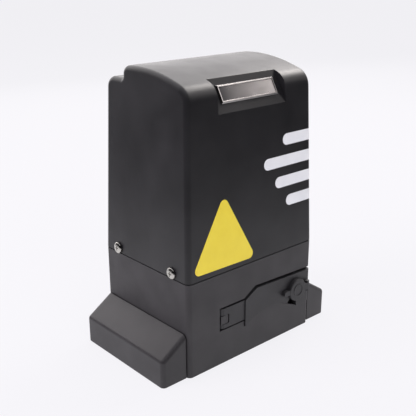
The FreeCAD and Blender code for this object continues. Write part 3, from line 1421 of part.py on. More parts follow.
def transformer_coil():
    """The coil bobbin through the core's window."""
    side = (CORE_W - COIL_W) / 2
    end = (CORE_H - COIL_H) / 2
    x0, x1 = CORE_X - CORE_W / 2 + side, CORE_X + CORE_W / 2 - side
    coil = box(x0, x1, CORE_Y - COIL_D / 2, CORE_Y + COIL_D / 2, DECK_TOP + end, DECK_TOP + CORE_H - end)
    return coil.makeFillet(COIL_ROUND, [e for e in coil.Edges if is_along(e, Z)])


def board_holes():
    """The four fixing places of the control board."""
    xs = (BOARD_LEFT + BOARD_HOLE_IN, BOARD_RIGHT - BOARD_HOLE_IN)
    zs = (BOARD_LOW + BOARD_HOLE_IN, BOARD_HIGH - BOARD_HOLE_IN)
    return [(x, z) for x in xs for z in zs]


def board_bracket():
    """The folded sheet bracket with stand-offs for the board."""
    y = BOARD_Y + BOARD_T + BRACKET_GAP
    sheet = box(BOARD_LEFT, BOARD_RIGHT, y, y + BRACKET_T, DECK_TOP + BRACKET_UP, BOARD_HIGH)
    left = CHAMBER_LEFT + BRACKET_IN
    foot = box(left, BOARD_RIGHT, y, y + BRACKET_FOOT, DECK_TOP, DECK_TOP + BRACKET_T)
    heel = box(left, BOARD_RIGHT, y, y + BRACKET_T, DECK_TOP, DECK_TOP + BRACKET_HEEL)
    posts = [rod(STANDOFF_R, V(x, BOARD_Y + BOARD_T, z), Y, BRACKET_GAP) for x, z in board_holes()]
    holes = [rod(BOARD_HOLE_R, V(x, BOARD_Y + BOARD_T, z), Y, BRACKET_GAP) for x, z in board_holes()]
    return fuse_all([sheet, foot, heel] + posts).cut(holes)


def control_board():
    """The printed board."""
    board = box(BOARD_LEFT, BOARD_RIGHT, BOARD_Y, BOARD_Y + BOARD_T, BOARD_LOW, BOARD_HIGH)
    return board.cut([rod(BOARD_HOLE_R, V(x, BOARD_Y, z), Y, BOARD_T) for x, z in board_holes()])


def board_screws():
    """The board's four screws."""
    screws = []
    for x, z in board_holes():
        head = rod(BOARD_SCREW_HEAD_R, V(x, BOARD_Y - BOARD_SCREW_HEAD_T, z), Y, BOARD_SCREW_HEAD_T)
        start = V(x, BOARD_Y - BOARD_SCREW_SUNK, z)
        screws.append(head.fuse(rod(BOARD_HOLE_R - RUN_GAP, start, Y, BOARD_T + BOARD_SCREW_REACH)))
    return Part.makeCompound(screws)


def on_board(x, z, width, height, out):
    """A block that stands forward from the board."""
    return box(x, x + width, BOARD_Y - out, BOARD_Y, z, z + height)


def relays():
    """Two power relays."""
    return Part.makeCompound([on_board(x, RELAY_LOW, RELAY_W, RELAY_H, RELAY_OUT) for x in RELAY_PLACES])


def terminal_block():
    """The pluggable terminal strip at the board's lower edge, with its screw wells."""
    left = BOARD_LEFT + TERMINAL_IN
    low = BOARD_LOW + TERMINAL_UP
    front = BOARD_Y - TERMINAL_OUT
    block = on_board(left, low, TERMINAL_COUNT * TERMINAL_STEP, TERMINAL_H, TERMINAL_OUT)
    for i in range(TERMINAL_COUNT):
        x = left + TERMINAL_STEP * (i + 0.5)
        block = block.cut(rod(WELL_R, V(x, front, low + WELL_UP), Y, WELL_DEPTH))
        slot = box(x - WIRE_SLOT_W / 2, x + WIRE_SLOT_W / 2, front, front + WIRE_SLOT_DEPTH,
                   low, low + WIRE_SLOT_H)
        block = block.cut(slot)
    return block


def fuse_holder():
    """The glass fuse in its clips."""
    fuse = rod(FUSE_R, V(FUSE_X, BOARD_Y - FUSE_OUT, FUSE_LOW), Z, FUSE_L)
    low = FUSE_LOW - FUSE_CLIP_PAST
    high = FUSE_LOW + FUSE_L + FUSE_CLIP_PAST - FUSE_CLIP_H
    left = FUSE_X - FUSE_CLIP_W / 2
    clips = [on_board(left, z, FUSE_CLIP_W, FUSE_CLIP_H, FUSE_CLIP_OUT) for z in (low, high)]
    return fuse_all([fuse] + clips)


def heat_sink():
    """The finned heat sink of the power stage."""
    base = on_board(SINK_LEFT, SINK_LOW, SINK_W, SINK_BASE_T, SINK_OUT)
    places = [SINK_LEFT + SINK_FIN_STEP * i for i in range(SINK_FINS - 1)] + [SINK_LEFT + SINK_W - SINK_FIN_T]
    return fuse_all([base] + [on_board(x, SINK_LOW, SINK_FIN_T, SINK_H, SINK_OUT) for x in places])


def board_parts():
    """Two electrolytic cans, a processor and the fuse in its clips."""
    cans = [rod(CANS_R, V(x, BOARD_Y - CANS_H, CANS_Z), Y, CANS_H) for x in CANS_X]
    chip = on_board(CHIP_LEFT, CHIP_LOW, CHIP_W, CHIP_H, CHIP_OUT)
    return Part.makeCompound(cans + [chip, fuse_holder()])


def button_x(i):
    """Where each push button stands along the board."""
    return BUTTON_FIRST_X + BUTTON_STEP * i


def button_switches():
    """The square bodies of the push buttons."""
    bodies = []
    half = BUTTON_BODY / 2
    for i in range(BUTTON_COUNT):
        body = on_board(button_x(i) - half, BUTTON_Z - half, BUTTON_BODY, BUTTON_BODY, BUTTON_BODY_T)
        front = V(button_x(i), BOARD_Y - BUTTON_BODY_T, BUTTON_Z)
        bodies.append(body.cut(rod(BUTTON_R + RUN_GAP, front, Y, 2 * BUTTON_TRAVEL + BUTTON_WELL_MORE)))
    return Part.makeCompound(bodies)


def board_button(i):
    """One button cap, a little above the bottom of its well."""
    bottom = BOARD_Y - BUTTON_BODY_T + BUTTON_TRAVEL + BUTTON_WELL_MORE - SEAT_GAP / 2
    return rod(BUTTON_R, V(button_x(i), bottom - BUTTON_T, BUTTON_Z), Y, BUTTON_T)


# Limit switch

def limit_box():
    """The limit switch housing, with a slot at the rear for the wand's swing."""
    half = LIMIT_W / 2
    rear = half_depth(LIMIT_TOP, 0)
    inside_rim = HALF_D - RIM_WALL - DECK_GAP
    case = box(-half, half, LIMIT_FRONT, inside_rim, DECK_TOP, LIMIT_TOP)
    case = case.fuse(box(-half, half, LIMIT_FRONT, rear, HOOD_LOW + DECK_GAP, LIMIT_TOP))
    inner = box(-half + LIMIT_WALL, half - LIMIT_WALL, LIMIT_FRONT + LIMIT_WALL, inside_rim - LIMIT_WALL,
                DECK_TOP + LIMIT_WALL, LIMIT_TOP - LIMIT_WALL)
    case = case.cut(inner)
    axle_h = LIMIT_TOP - DECK_TOP - LIMIT_WALL
    axle = rod(WAND_AXLE_R, V(0, WAND_PIVOT_Y, DECK_TOP + LIMIT_WALL / 2), Z, axle_h)
    slot_w = half - LIMIT_WALL * 1.5
    slot_h = WAND_R + WAND_SLOT_MORE
    slot = box(-slot_w, slot_w, inside_rim - LIMIT_WALL - 1, rear + 1, WAND_Z - slot_h, WAND_Z + slot_h)
    return case.cut(slot).fuse(axle).removeSplitter()


def limit_hub():
    """The wand's carrier on the limit switch axle, with its two striker arms."""
    height = MICRO_H
    hub = rod(WAND_PIVOT_R, V(0, WAND_PIVOT_Y, WAND_Z - height / 2), Z, height)
    stem = rod(WAND_R - STEM_LESS, V(0, WAND_PIVOT_Y, WAND_Z), Y, REAR_Y - WAND_PIVOT_Y + WAND_STEM)
    reach = WAND_PIVOT_Y - WAND_PIVOT_R - STRIKER_OUT
    low, high = WAND_Z - STRIKER_T / 2, WAND_Z + STRIKER_T / 2
    strikers = box(-STRIKER_W / 2, STRIKER_W / 2, reach, WAND_PIVOT_Y, low, high)
    hub = fuse_all([hub, stem, strikers])
    return hub.cut(rod(WAND_AXLE_R + RUN_GAP, V(0, WAND_PIVOT_Y, WAND_Z - height), Z, 2 * height))


def wand_spring():
    """The close-coiled spring of the wand, as a sleeve with a groove between its coils."""
    start = REAR_Y + WAND_STEM
    length = WAND_OUT - WAND_STEM - WAND_TIP_R / 2
    sleeve = rod(WAND_R, V(0, start, WAND_Z), Y, length)
    pitch = length / WAND_COILS
    places = [V(0, start + pitch * i - WAND_GROOVE / 2, WAND_Z) for i in range(1, WAND_COILS)]
    grooves = [ring(WAND_R + 1, WAND_R - WAND_GROOVE, place, Y, WAND_GROOVE) for place in places]
    return sleeve.cut(grooves)


def wand_tip():
    """The round plastic tip of the wand, turned in flat steps."""
    centre = REAR_Y + WAND_OUT
    bore_end = WAND_OUT - WAND_TIP_R / 2
    steps = [math.radians(90.0 * i / TIP_STEPS) for i in range(-TIP_STEPS, TIP_STEPS + 1)]
    curve = [V(0, centre + WAND_TIP_R * math.sin(a), WAND_Z + WAND_TIP_R * math.cos(a)) for a in steps]
    ball = Part.Face(Part.makePolygon(curve + curve[:1])).revolve(V(0, centre, WAND_Z), Y, 360)
    return ball.cut(rod(WAND_R, V(0, REAR_Y, WAND_Z), Y, bore_end))


def microswitches():
    """Two small switches on both sides of the striker arms."""
    y0 = LIMIT_FRONT + LIMIT_WALL
    half = LIMIT_W / 2 - LIMIT_WALL
    low, high = WAND_Z - MICRO_H / 2, WAND_Z + MICRO_H / 2
    places = (-half, half - MICRO_W)
    return Part.makeCompound([box(x, x + MICRO_W, y0, y0 + MICRO_L / 2, low, high) for x in places])


def build():
    """Make every sub-part and write it."""
    os.makedirs("parts", exist_ok=True)
    save("base_housing", base_housing())
    save("front_wall", front_wall())
    save("anchor_ears", anchor_ears())
    save("inner_bosses", inner_bosses())
    save("cable_grommet", grommet())
    save("levelling_screws", levelling_screws())
    save("seam_gasket", seam_gasket())
    save("hood", hood())
    save("badge_frame", badge_frame())
    save("badge_face", badge_face())
    save("hood_screws", hood_screws())
    save("foot_cover_left", foot_cover(-1))
    save("foot_cover_right", foot_cover(1))
    save("release_lever", release_lever())
    save("lever_hinge_pin", hinge_pin())
    save("lock_barrel", lock_barrel())
    save("lock_cam", lock_cam())
    save("lock_dust_cap", dust_cap())
    save("dust_cap_pin", cap_pin())
    save("output_shaft", output_shaft())
    save("shaft_key", key_block(RUN_GAP))
    save("output_pinion", pinion())
    save("pinion_bolt", pinion_bolt())
    save("shaft_bearings", shaft_bearings())
    save("shaft_seal", shaft_seal())
    save("worm_wheel", worm_wheel())
    save("clutch_sleeve", clutch_sleeve())
    save("clutch_spring", clutch_spring())
    save("release_fork", release_fork())
    save("worm_shaft", worm_shaft())
    save("worm_bearings", worm_bearings())
    save("motor_flange", motor_flange())
    save("motor_housing", motor_housing())
    save("motor_stator", stator())
    save("motor_windings", windings())
    save("motor_rotor", rotor())
    save("motor_end_cap", motor_end_cap())
    save("deck_plate", deck_plate())
    save("cap_screws", cap_screws())
    save("oil_plug", oil_plug())
    save("run_capacitor", capacitor())
    save("capacitor_clip", capacitor_clip())
    save("transformer_core", transformer_core())
    save("transformer_coil", transformer_coil())
    save("board_bracket", board_bracket())
    save("control_board", control_board())
    save("board_screws", board_screws())
    save("relays", relays())
    save("terminal_block", terminal_block())
    save("heat_sink", heat_sink())
    save("board_parts", board_parts())
    save("button_switches", button_switches())
    for i in range(BUTTON_COUNT):
        save("board_button_" + str(i + 1), board_button(i))
    save("limit_switch_box", limit_box())
    save("limit_switch_hub", limit_hub())
    save("wand_spring", wand_spring())
    save("wand_tip", wand_tip())
    save("microswitches", microswitches())


build()
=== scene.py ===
import json
import math

import bmesh
import bpy
from mathutils import Matrix, Quaternion, Vector

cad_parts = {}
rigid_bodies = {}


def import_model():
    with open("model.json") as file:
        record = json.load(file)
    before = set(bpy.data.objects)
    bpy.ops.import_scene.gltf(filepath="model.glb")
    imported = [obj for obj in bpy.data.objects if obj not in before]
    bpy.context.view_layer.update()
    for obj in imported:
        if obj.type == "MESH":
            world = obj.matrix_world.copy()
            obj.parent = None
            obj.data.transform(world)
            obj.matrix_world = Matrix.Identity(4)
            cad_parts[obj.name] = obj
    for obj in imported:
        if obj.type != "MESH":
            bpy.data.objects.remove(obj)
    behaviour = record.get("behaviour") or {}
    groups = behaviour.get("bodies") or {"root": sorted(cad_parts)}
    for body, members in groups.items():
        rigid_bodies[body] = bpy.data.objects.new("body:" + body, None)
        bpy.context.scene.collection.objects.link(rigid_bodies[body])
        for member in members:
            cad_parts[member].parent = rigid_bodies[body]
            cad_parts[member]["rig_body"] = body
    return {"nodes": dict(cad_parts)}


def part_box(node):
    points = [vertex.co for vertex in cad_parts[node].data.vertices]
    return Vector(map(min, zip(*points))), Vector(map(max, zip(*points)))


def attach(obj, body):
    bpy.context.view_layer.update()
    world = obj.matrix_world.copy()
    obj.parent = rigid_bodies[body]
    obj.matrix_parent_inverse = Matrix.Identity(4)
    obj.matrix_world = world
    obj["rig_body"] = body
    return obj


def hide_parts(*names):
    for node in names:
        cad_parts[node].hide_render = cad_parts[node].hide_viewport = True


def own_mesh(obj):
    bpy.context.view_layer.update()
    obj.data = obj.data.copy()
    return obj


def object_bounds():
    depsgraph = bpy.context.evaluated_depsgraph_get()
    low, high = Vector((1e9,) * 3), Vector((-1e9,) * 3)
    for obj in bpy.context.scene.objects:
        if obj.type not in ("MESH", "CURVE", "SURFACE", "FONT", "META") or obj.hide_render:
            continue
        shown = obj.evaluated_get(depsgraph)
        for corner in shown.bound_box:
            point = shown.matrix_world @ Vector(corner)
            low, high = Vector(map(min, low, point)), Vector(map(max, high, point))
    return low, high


# The imported model comes in first. Its box is kept, and its low side sets the floor.
MM = 0.001
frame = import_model()
nodes = frame["nodes"]
cad_low, cad_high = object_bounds()


# View and studio
# The photograph looks at the left front corner from a little above, on a pale ground with no edge.
# A pale paper floor runs to the horizon. Soft boxes stand overhead, high at the right, at the left and in
# front, and a small card lights the badge. Only reflections see the dark walls and floor of the unlit room.

CAMERA_PLACE = Vector((-0.5354, -0.5942, 0.4386))
CAMERA_TARGET = Vector((-0.0029, 0.0, 0.1569))
CAMERA_LENS = 62.1
CAMERA_SENSOR = 36.0
CAMERA_ROLL = math.radians(-0.14)
PALE = "f4f3f7"
FLOOR_HALF = 30.0
FLOOR_SHADE = 0.07
FLOOR_ROUGH = 0.5
WORLD_LIGHT = 0.5
ROOM_DARK = "141416"
ROOM_R = 2.4
ROOM_H = 3.2
ROOM_LIFT = 0.002
ROOM_FIRST = 118.0
ROOM_LAST = 350.0
ROOM_STEPS = 48
TABLE_R = 0.62
MIDDLE = (0.0, 0.0, 0.17)
ROOF_MIDDLE = (0.0, 0.0, 0.3)
BADGE_PLACE = (0.0, -0.05, 0.31)


def linear(code):
    """An sRGB hex colour as linear light, with full alpha."""
    parts = [int(code[i:i + 2], 16) / 255 for i in (0, 2, 4)]
    return [p / 12.92 if p <= 0.04045 else ((p + 0.055) / 1.055) ** 2.4 for p in parts] + [1.0]


def feed(node, sockets):
    """Set each of a node's inputs to a value, or link it to an output."""
    for name, source in sockets.items():
        if isinstance(source, bpy.types.NodeSocket):
            node.id_data.links.new(source, node.inputs[name])
        else:
            node.inputs[name].default_value = source


def add_node(tree, kind, sockets=None, **settings):
    """Add one node with its settings, and feed its inputs."""
    node = tree.nodes.new(kind)
    for name, value in settings.items():
        setattr(node, name, value)
    feed(node, sockets or {})
    return node


def show(name, data):
    """A new object for a mesh that is already in its place, or for a lamp or camera."""
    piece = bpy.data.objects.new(name, data)
    bpy.context.scene.collection.objects.link(piece)
    return piece


def seen_directly(tree):
    """One for a ray that shows the background: straight, mirrored or through glass."""
    path = add_node(tree, "ShaderNodeLightPath").outputs
    seen = path["Is Camera Ray"]
    for ray in ("Is Glossy Ray", "Is Transmission Ray"):
        seen = add_node(tree, "ShaderNodeMath", {0: seen, 1: path[ray]}, operation="MAXIMUM").outputs[0]
    return seen


def either(tree, share, first, second):
    """Two shaders, with the share of the second."""
    sources = {0: share, 1: first.outputs[0], 2: second.outputs[0]}
    return add_node(tree, "ShaderNodeMixShader", sources).outputs[0]


def studio_world():
    """Pale where it is seen, and a plain soft light on the object."""
    world = bpy.data.worlds.new("studio")
    world.use_nodes = True
    tree = world.node_tree
    tree.nodes.clear()
    light = add_node(tree, "ShaderNodeBackground", {"Color": linear("ffffff"), "Strength": WORLD_LIGHT})
    seen = add_node(tree, "ShaderNodeBackground", {"Color": linear(PALE), "Strength": 1.0})
    add_node(tree, "ShaderNodeOutputWorld", {"Surface": either(tree, seen_directly(tree), light, seen)})
    bpy.context.scene.world = world


def paper_floor():
    """Matt pale paper, which keeps a faint shadow under the object."""
    mesh = bpy.data.meshes.new("floor")
    sides = ((-1, -1), (1, -1), (1, 1), (-1, 1))
    mesh.from_pydata([(FLOOR_HALF * x, FLOOR_HALF * y, cad_low.z) for x, y in sides], [], [(0, 1, 2, 3)])
    finish = bpy.data.materials.new("pale_paper")
    finish.use_nodes = True
    tree = finish.node_tree
    tree.nodes.clear()
    lit = {0: seen_directly(tree), 1: 1 - FLOOR_SHADE}
    share = add_node(tree, "ShaderNodeMath", lit, operation="MULTIPLY").outputs[0]
    paper = add_node(tree, "ShaderNodeBsdfDiffuse", {"Color": linear(PALE), "Roughness": FLOOR_ROUGH})
    glow = add_node(tree, "ShaderNodeEmission", {"Color": linear(PALE), "Strength": 1.0})
    add_node(tree, "ShaderNodeOutputMaterial", {"Surface": either(tree, share, paper, glow)})
    mesh.materials.append(finish)
    show("floor", mesh)


def aimed(item, place, target, roll=0.0):
    """Set a lamp or the camera at one point, and turn it to look at another."""
    item.location = place
    item.rotation_mode = "QUATERNION"
    look = (Vector(target) - Vector(place)).to_track_quat("-Z", "Y")
    item.rotation_quaternion = look @ Quaternion((0, 0, 1), roll)
    return item


def soft_box(name, place, target, width, height, power, colour, in_gloss=True):
    """A rectangular lamp that the camera doesn't see."""
    data = bpy.data.lights.new(name, "AREA")
    data.shape = "RECTANGLE"
    data.size = width
    data.size_y = height
    data.energy = power
    data.color = linear(colour)[:3]
    lamp = aimed(show(name, data), place, target)
    lamp.visible_camera = False
    lamp.visible_glossy = in_gloss


def unlit(name, points, faces):
    """A surface of the dark room, which only reflections see."""
    mesh = bpy.data.meshes.new(name)
    mesh.from_pydata(points, [], faces)
    finish = bpy.data.materials.new(name)
    finish.use_nodes = True
    tree = finish.node_tree
    tree.nodes.clear()
    black = add_node(tree, "ShaderNodeEmission", {"Color": linear(ROOM_DARK), "Strength": 1.0})
    add_node(tree, "ShaderNodeOutputMaterial", {"Surface": black.outputs[0]})
    mesh.materials.append(finish)
    screen = show(name, mesh)
    for ray in ("camera", "diffuse", "shadow", "transmission", "volume_scatter"):
        setattr(screen, "visible_" + ray, False)


def dark_room():
    """The unlit part of the room: walls and far floor, open to the pale side behind on the right."""
    step = (ROOM_LAST - ROOM_FIRST) / ROOM_STEPS
    angles = [math.radians(ROOM_FIRST + step * i) for i in range(ROOM_STEPS + 1)]
    low = cad_low.z + ROOM_LIFT
    surfaces = {"room_walls": ((ROOM_R, low), (ROOM_R, low + ROOM_H)),
                "far_floor": ((TABLE_R, low), (ROOM_R, low))}
    for name, rings in surfaces.items():
        points = []
        for angle in angles:
            points += [(r * math.cos(angle), r * math.sin(angle), z) for r, z in rings]
        unlit(name, points, [(2 * i, 2 * i + 2, 2 * i + 3, 2 * i + 1) for i in range(ROOM_STEPS)])


camera_data = bpy.data.cameras.new("camera")
camera_data.lens = CAMERA_LENS
camera_data.sensor_width = CAMERA_SENSOR
bpy.context.scene.camera = aimed(show("camera", camera_data), CAMERA_PLACE, CAMERA_TARGET, CAMERA_ROLL)
bpy.context.scene.view_settings.view_transform = "Standard"

studio_world()
paper_floor()
dark_room()
soft_box("overhead", (0.4, 1.33, 1.05), ROOF_MIDDLE, 3.2, 1.7, 27.0, "fffaf8")
soft_box("right_high", (1.27, 0.16, 1.46), BADGE_PLACE, 0.8, 0.6, 21.0, "fff9f5")
soft_box("badge_card", (1.15, -0.95, 1.25), BADGE_PLACE, 0.35, 0.6, 1.7, "fffaf9")
soft_box("left_side", (-1.25, 0.4, 0.9), MIDDLE, 1.0, 1.2, 20.0, "fbf6fb", in_gloss=False)
soft_box("front_fill", (-0.3, -1.5, 1.2), MIDDLE, 1.4, 1.2, 9.0, "ffffff", in_gloss=False)


# Hood
# One deep moulding of black ABS, which drops over the motor and the board and seals on the housing's rim.
# The mould leaves a fine spark-eroded grain, so it shines softly, and no edge is left sharp.

WELD = 0.002 * MM
FLAT = math.radians(0.5)
SHARP = math.radians(23)
HOOD_EDGE = 0.5 * MM
TONE_CLOUD = 45 * MM
GLOSS_CLOUD = 30 * MM
FLOW_WAVE = 60 * MM
FLOW_DEPTH = 0.4 * MM
GRAIN = 1.0 * MM
GRAIN_DEPTH = 0.03 * MM


def made(form, name):
    """The mesh of a form that was built or changed point by point."""
    mesh = bpy.data.meshes.new(name)
    form.to_mesh(mesh)
    form.free()
    return mesh


def placed(piece, body, slot, *replaced):
    """Set a piece on its body, in place of the plain parts that it replaces. Its slot is not used."""
    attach(piece, body)
    if replaced:
        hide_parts(*replaced)
    return piece


def with_broken_edges(node, name, radius, finish, slot):
    """A copy of a part with its sharp edges broken to a small radius, in place of the plain one."""
    edged(name, nodes[node].data, radius, finish, slot, node)


def edged(name, source, radius, finish, slot, *replaced):
    """A copy of a mesh with broken edges, which rides on the body of the parts that it replaces."""
    form = bmesh.new()
    form.from_mesh(source)
    bmesh.ops.remove_doubles(form, verts=form.verts, dist=WELD)
    bmesh.ops.dissolve_limit(form, angle_limit=FLAT, verts=form.verts, edges=form.edges)
    mesh = made(form, name)
    mesh.shade_smooth()
    mesh.materials.append(finish)
    piece = show(name, mesh)
    bevel = piece.modifiers.new("broken_edges", "BEVEL")
    bevel.width = radius
    bevel.segments = 2
    bevel.limit_method = "ANGLE"
    bevel.angle_limit = SHARP
    normals = piece.modifiers.new("flat_faces", "WEIGHTED_NORMAL")
    normals.keep_sharp = True
    placed(piece, nodes[replaced[0]]["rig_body"], slot, *replaced)


def welded(source):
    """A copy of a mesh of loose triangles with its points merged."""
    form = bmesh.new()
    form.from_mesh(source)
    bmesh.ops.remove_doubles(form, verts=form.verts, dist=WELD)
    return made(form, "welded")


def joined(names):
    """One mesh of several parts that the factory casts as one."""
    whole = show("casting", welded(nodes[names[0]].data))
    for name in names[1:]:
        half = show("casting_half", welded(nodes[name].data))
        union = whole.modifiers.new("union", "BOOLEAN")
        union.operation = "UNION"
        union.solver = "EXACT"
        union.object = half
        mesh = as_mesh(whole)
        bpy.data.objects.remove(half)
        whole = show("casting", mesh)
    bpy.data.objects.remove(whole)
    return mesh


def as_mesh(piece):
    """The finished mesh of an object with its modifiers, and the object taken away."""
    depsgraph = bpy.context.evaluated_depsgraph_get()
    mesh = bpy.data.meshes.new_from_object(piece.evaluated_get(depsgraph))
    bpy.data.objects.remove(piece)
    return mesh


def plain_finish(name, colour, rough, metal=0.0):
    """A material with one colour and roughness, to which a pattern is added."""
    finish = bpy.data.materials.new(name)
    finish.use_nodes = True
    shader = finish.node_tree.nodes["Principled BSDF"]
    shader.inputs["Base Color"].default_value = linear(colour)
    shader.inputs["Roughness"].default_value = rough
    shader.inputs["Metallic"].default_value = metal
    return finish, finish.node_tree, shader


def on_object(tree):
    """The place on the object itself, in metres, which steers the patterns."""
    return add_node(tree, "ShaderNodeTexCoord").outputs["Object"]


def noise(tree, place, size, detail=2.0):
    """A cloudy pattern with clouds of a real size."""
    sources = {"Vector": place, "Scale": 1 / size, "Detail": detail}
    return add_node(tree, "ShaderNodeTexNoise", sources).outputs["Fac"]


def mottled(tree, place, size, low=0.0, high=1.0):
    """A soft cloudy value between two limits, which most of the noise spans."""
    sources = {"Value": noise(tree, place, size, 3.0), "From Min": 0.3, "From Max": 0.7,
               "To Min": low, "To Max": high}
    return add_node(tree, "ShaderNodeMapRange", sources).outputs[0]


def two_tone(tree, share, first, second):
    """A colour between two hex colours, with the share of the second."""
    sources = {"Factor": share, 6: linear(first), 7: linear(second)}
    return add_node(tree, "ShaderNodeMix", sources, data_type="RGBA").outputs[2]


def relief(tree, height, strength, depth, under=None):
    """The tilt of a surface that a pattern raises by a real depth, on top of another relief if given."""
    sources = {"Height": height, "Strength": strength, "Distance": depth}
    if under:
        sources["Normal"] = under
    return add_node(tree, "ShaderNodeBump", sources).outputs[0]


def moulded_abs(name, light, dark, rough, grain=GRAIN):
    """Plastic from a spark-eroded mould: an even satin black. Its grain is drawn ten times as coarse."""
    finish, tree, shader = plain_finish(name, dark, rough)
    place = on_object(tree)
    flow = relief(tree, noise(tree, place, FLOW_WAVE, 1.0), 0.25, FLOW_DEPTH)
    feed(shader, {"Base Color": two_tone(tree, mottled(tree, place, TONE_CLOUD), dark, light),
                  "Roughness": mottled(tree, place, GLOSS_CLOUD, rough - 0.03, rough + 0.04),
                  "Normal": relief(tree, noise(tree, place, grain), 0.3, GRAIN_DEPTH, flow)})
    return finish


hood_finish = moulded_abs("moulded_abs_hood", "212023", "18171a", 0.42)
with_broken_edges("hood", "hood_shell", HOOD_EDGE, hood_finish, "hood_plastic")


# Stickers on the hood
# Two vinyl cuts lie on the hood's skin: a plain yellow triangle at the left, and four white bars
# that start on the front and run round the right corner. Each is 0.12 mm thick with a soft rim.

HOOD_LOW, HOOD_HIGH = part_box("hood")
DRAFT = math.tan(math.radians(2.0))
CORNER_R = 6.0 * MM
VINYL = 0.12 * MM
VINYL_LIFT = 0.03 * MM
TRIANGLE = ((-45.0 * MM, 201.0 * MM), (-92.5 * MM, 119.3 * MM), (1.8 * MM, 117.8 * MM))
TRIANGLE_R = 6.0 * MM
BAR_H = 13.0 * MM
BAR_STEP = 24.0 * MM
BAR_FIRST_Z = 172.0 * MM
BAR_STARTS = (52.0 * MM, 34.0 * MM, 16.0 * MM, 46.0 * MM)
BAR_ROUND_CORNER = 26.0 * MM
BAR_COLUMNS = 110
ROUND_STEPS = 8
VINYL_ROUGH = 0.32
VINYL_CLOUD = 18 * MM
RIPPLE = 9 * MM
RIPPLE_DEPTH = 0.1 * MM


def on_skin(along, z, lift):
    """A point on the hood, measured along its front from the middle and round the right corner."""
    taper = (z - HOOD_LOW.z) * DRAFT
    half_w = HOOD_HIGH.x - taper
    half_d = -HOOD_LOW.y - taper
    flat = half_w - CORNER_R
    reach = CORNER_R + lift
    if abs(along) <= flat:
        return Vector((along, -half_d - lift, z))
    turn = (along - flat) / CORNER_R
    if turn <= math.pi / 2:
        return Vector((flat + reach * math.sin(turn), -half_d + CORNER_R - reach * math.cos(turn), z))
    beyond = along - flat - CORNER_R * math.pi / 2
    return Vector((half_w + lift, -half_d + CORNER_R + beyond, z))


def on_hood(name, form, finish):
    """A finished sticker, which rides on the hood."""
    bmesh.ops.recalc_face_normals(form, faces=form.faces)
    mesh = made(form, name)
    mesh.materials.append(finish)
    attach(show(name, mesh), "hood")


def vinyl_cut(name, outline_rows, finish):
    """A thin sticker from rows of points that lie on the skin, with its thickness outwards."""
    form = bmesh.new()
    layers = []
    for lift in (VINYL_LIFT, VINYL_LIFT + VINYL):
        layers.append([[form.verts.new(on_skin(a, z, lift)) for a, z in row] for row in outline_rows])
    for layer in layers:
        for low, high in zip(layer, layer[1:]):
            for i in range(len(low) - 1):
                quad = [low[i], low[i + 1], high[i + 1], high[i]]
                form.faces.new(quad if layer is layers[1] else quad[::-1])
    rim = [e for e in form.edges if len(e.link_faces) == 1]
    bmesh.ops.bridge_loops(form, edges=rim)
    bmesh.ops.remove_doubles(form, verts=form.verts, dist=WELD)
    on_hood(name, form, finish)


def printed_vinyl(name, colour, shade):
    """Printed vinyl film: an even colour under a semi-gloss laminate, which ripples a little."""
    finish, tree, shader = plain_finish(name, colour, VINYL_ROUGH)
    place = on_object(tree)
    feed(shader, {"Base Color": two_tone(tree, mottled(tree, place, VINYL_CLOUD), colour, shade),
                  "Normal": relief(tree, noise(tree, place, RIPPLE), 0.15, RIPPLE_DEPTH)})
    return finish


def rounded_triangle():
    """The triangle's outline with its round corners, and its middle."""
    middle = Vector([sum(c[i] for c in TRIANGLE) / 3 for i in (0, 1)])
    outline = []
    for i, corner in enumerate(TRIANGLE):
        here, before, after = Vector(corner), Vector(TRIANGLE[i - 1]), Vector(TRIANGLE[(i + 1) % 3])
        into = ((before - here).normalized() + (after - here).normalized()).normalized()
        half = (before - here).angle(after - here) / 2
        centre = here + into * (TRIANGLE_R / math.sin(half))
        first = math.atan2((here - centre).y, (here - centre).x)
        spread = math.pi / 2 - half
        for k in range(-ROUND_STEPS, ROUND_STEPS + 1):
            angle = first + spread * k / ROUND_STEPS
            outline.append(centre + Vector((math.cos(angle), math.sin(angle))) * TRIANGLE_R)
    outline.sort(key=lambda p: math.atan2((p - middle).y, (p - middle).x))
    return outline, middle


def flat_vinyl(name, outline, middle, finish):
    """A sticker that lies on the flat front, fanned from its middle."""
    form = bmesh.new()
    rings = []
    hubs = []
    for lift in (VINYL_LIFT, VINYL_LIFT + VINYL):
        rings.append([form.verts.new(on_skin(p.x, p.y, lift)) for p in outline])
        hubs.append(form.verts.new(on_skin(middle.x, middle.y, lift)))
    count = len(outline)
    for i in range(count):
        j = (i + 1) % count
        form.faces.new((rings[0][j], rings[0][i], hubs[0]))
        form.faces.new((rings[1][i], rings[1][j], hubs[1]))
        form.faces.new((rings[0][i], rings[0][j], rings[1][j], rings[1][i]))
    on_hood(name, form, finish)


yellow_vinyl = printed_vinyl("printed_vinyl_yellow", "dec933", "d9c32c")
white_vinyl = printed_vinyl("printed_vinyl_white", "dadbe0", "d4d5db")
flat_vinyl("sticker_triangle", *rounded_triangle(), yellow_vinyl)


def bar_rows(start, end, z_mid):
    """A bar with round ends as columns of two points, turned into rows."""
    radius = BAR_H / 2
    inwards = [radius * (1 - math.cos(math.pi / 2 * k / ROUND_STEPS)) for k in range(ROUND_STEPS + 1)]
    straight = end - start - 2 * radius
    spots = [start + inset for inset in inwards]
    spots += [start + radius + straight * k / BAR_COLUMNS for k in range(1, BAR_COLUMNS)]
    spots += [end - inset for inset in inwards[::-1]]
    rows = ([], [])
    for spot in spots:
        inset = max(0.0, radius - min(spot - start, end - spot))
        reach = math.sqrt(max(0.0, radius ** 2 - inset ** 2))
        rows[0].append((spot, z_mid - reach))
        rows[1].append((spot, z_mid + reach))
    return rows


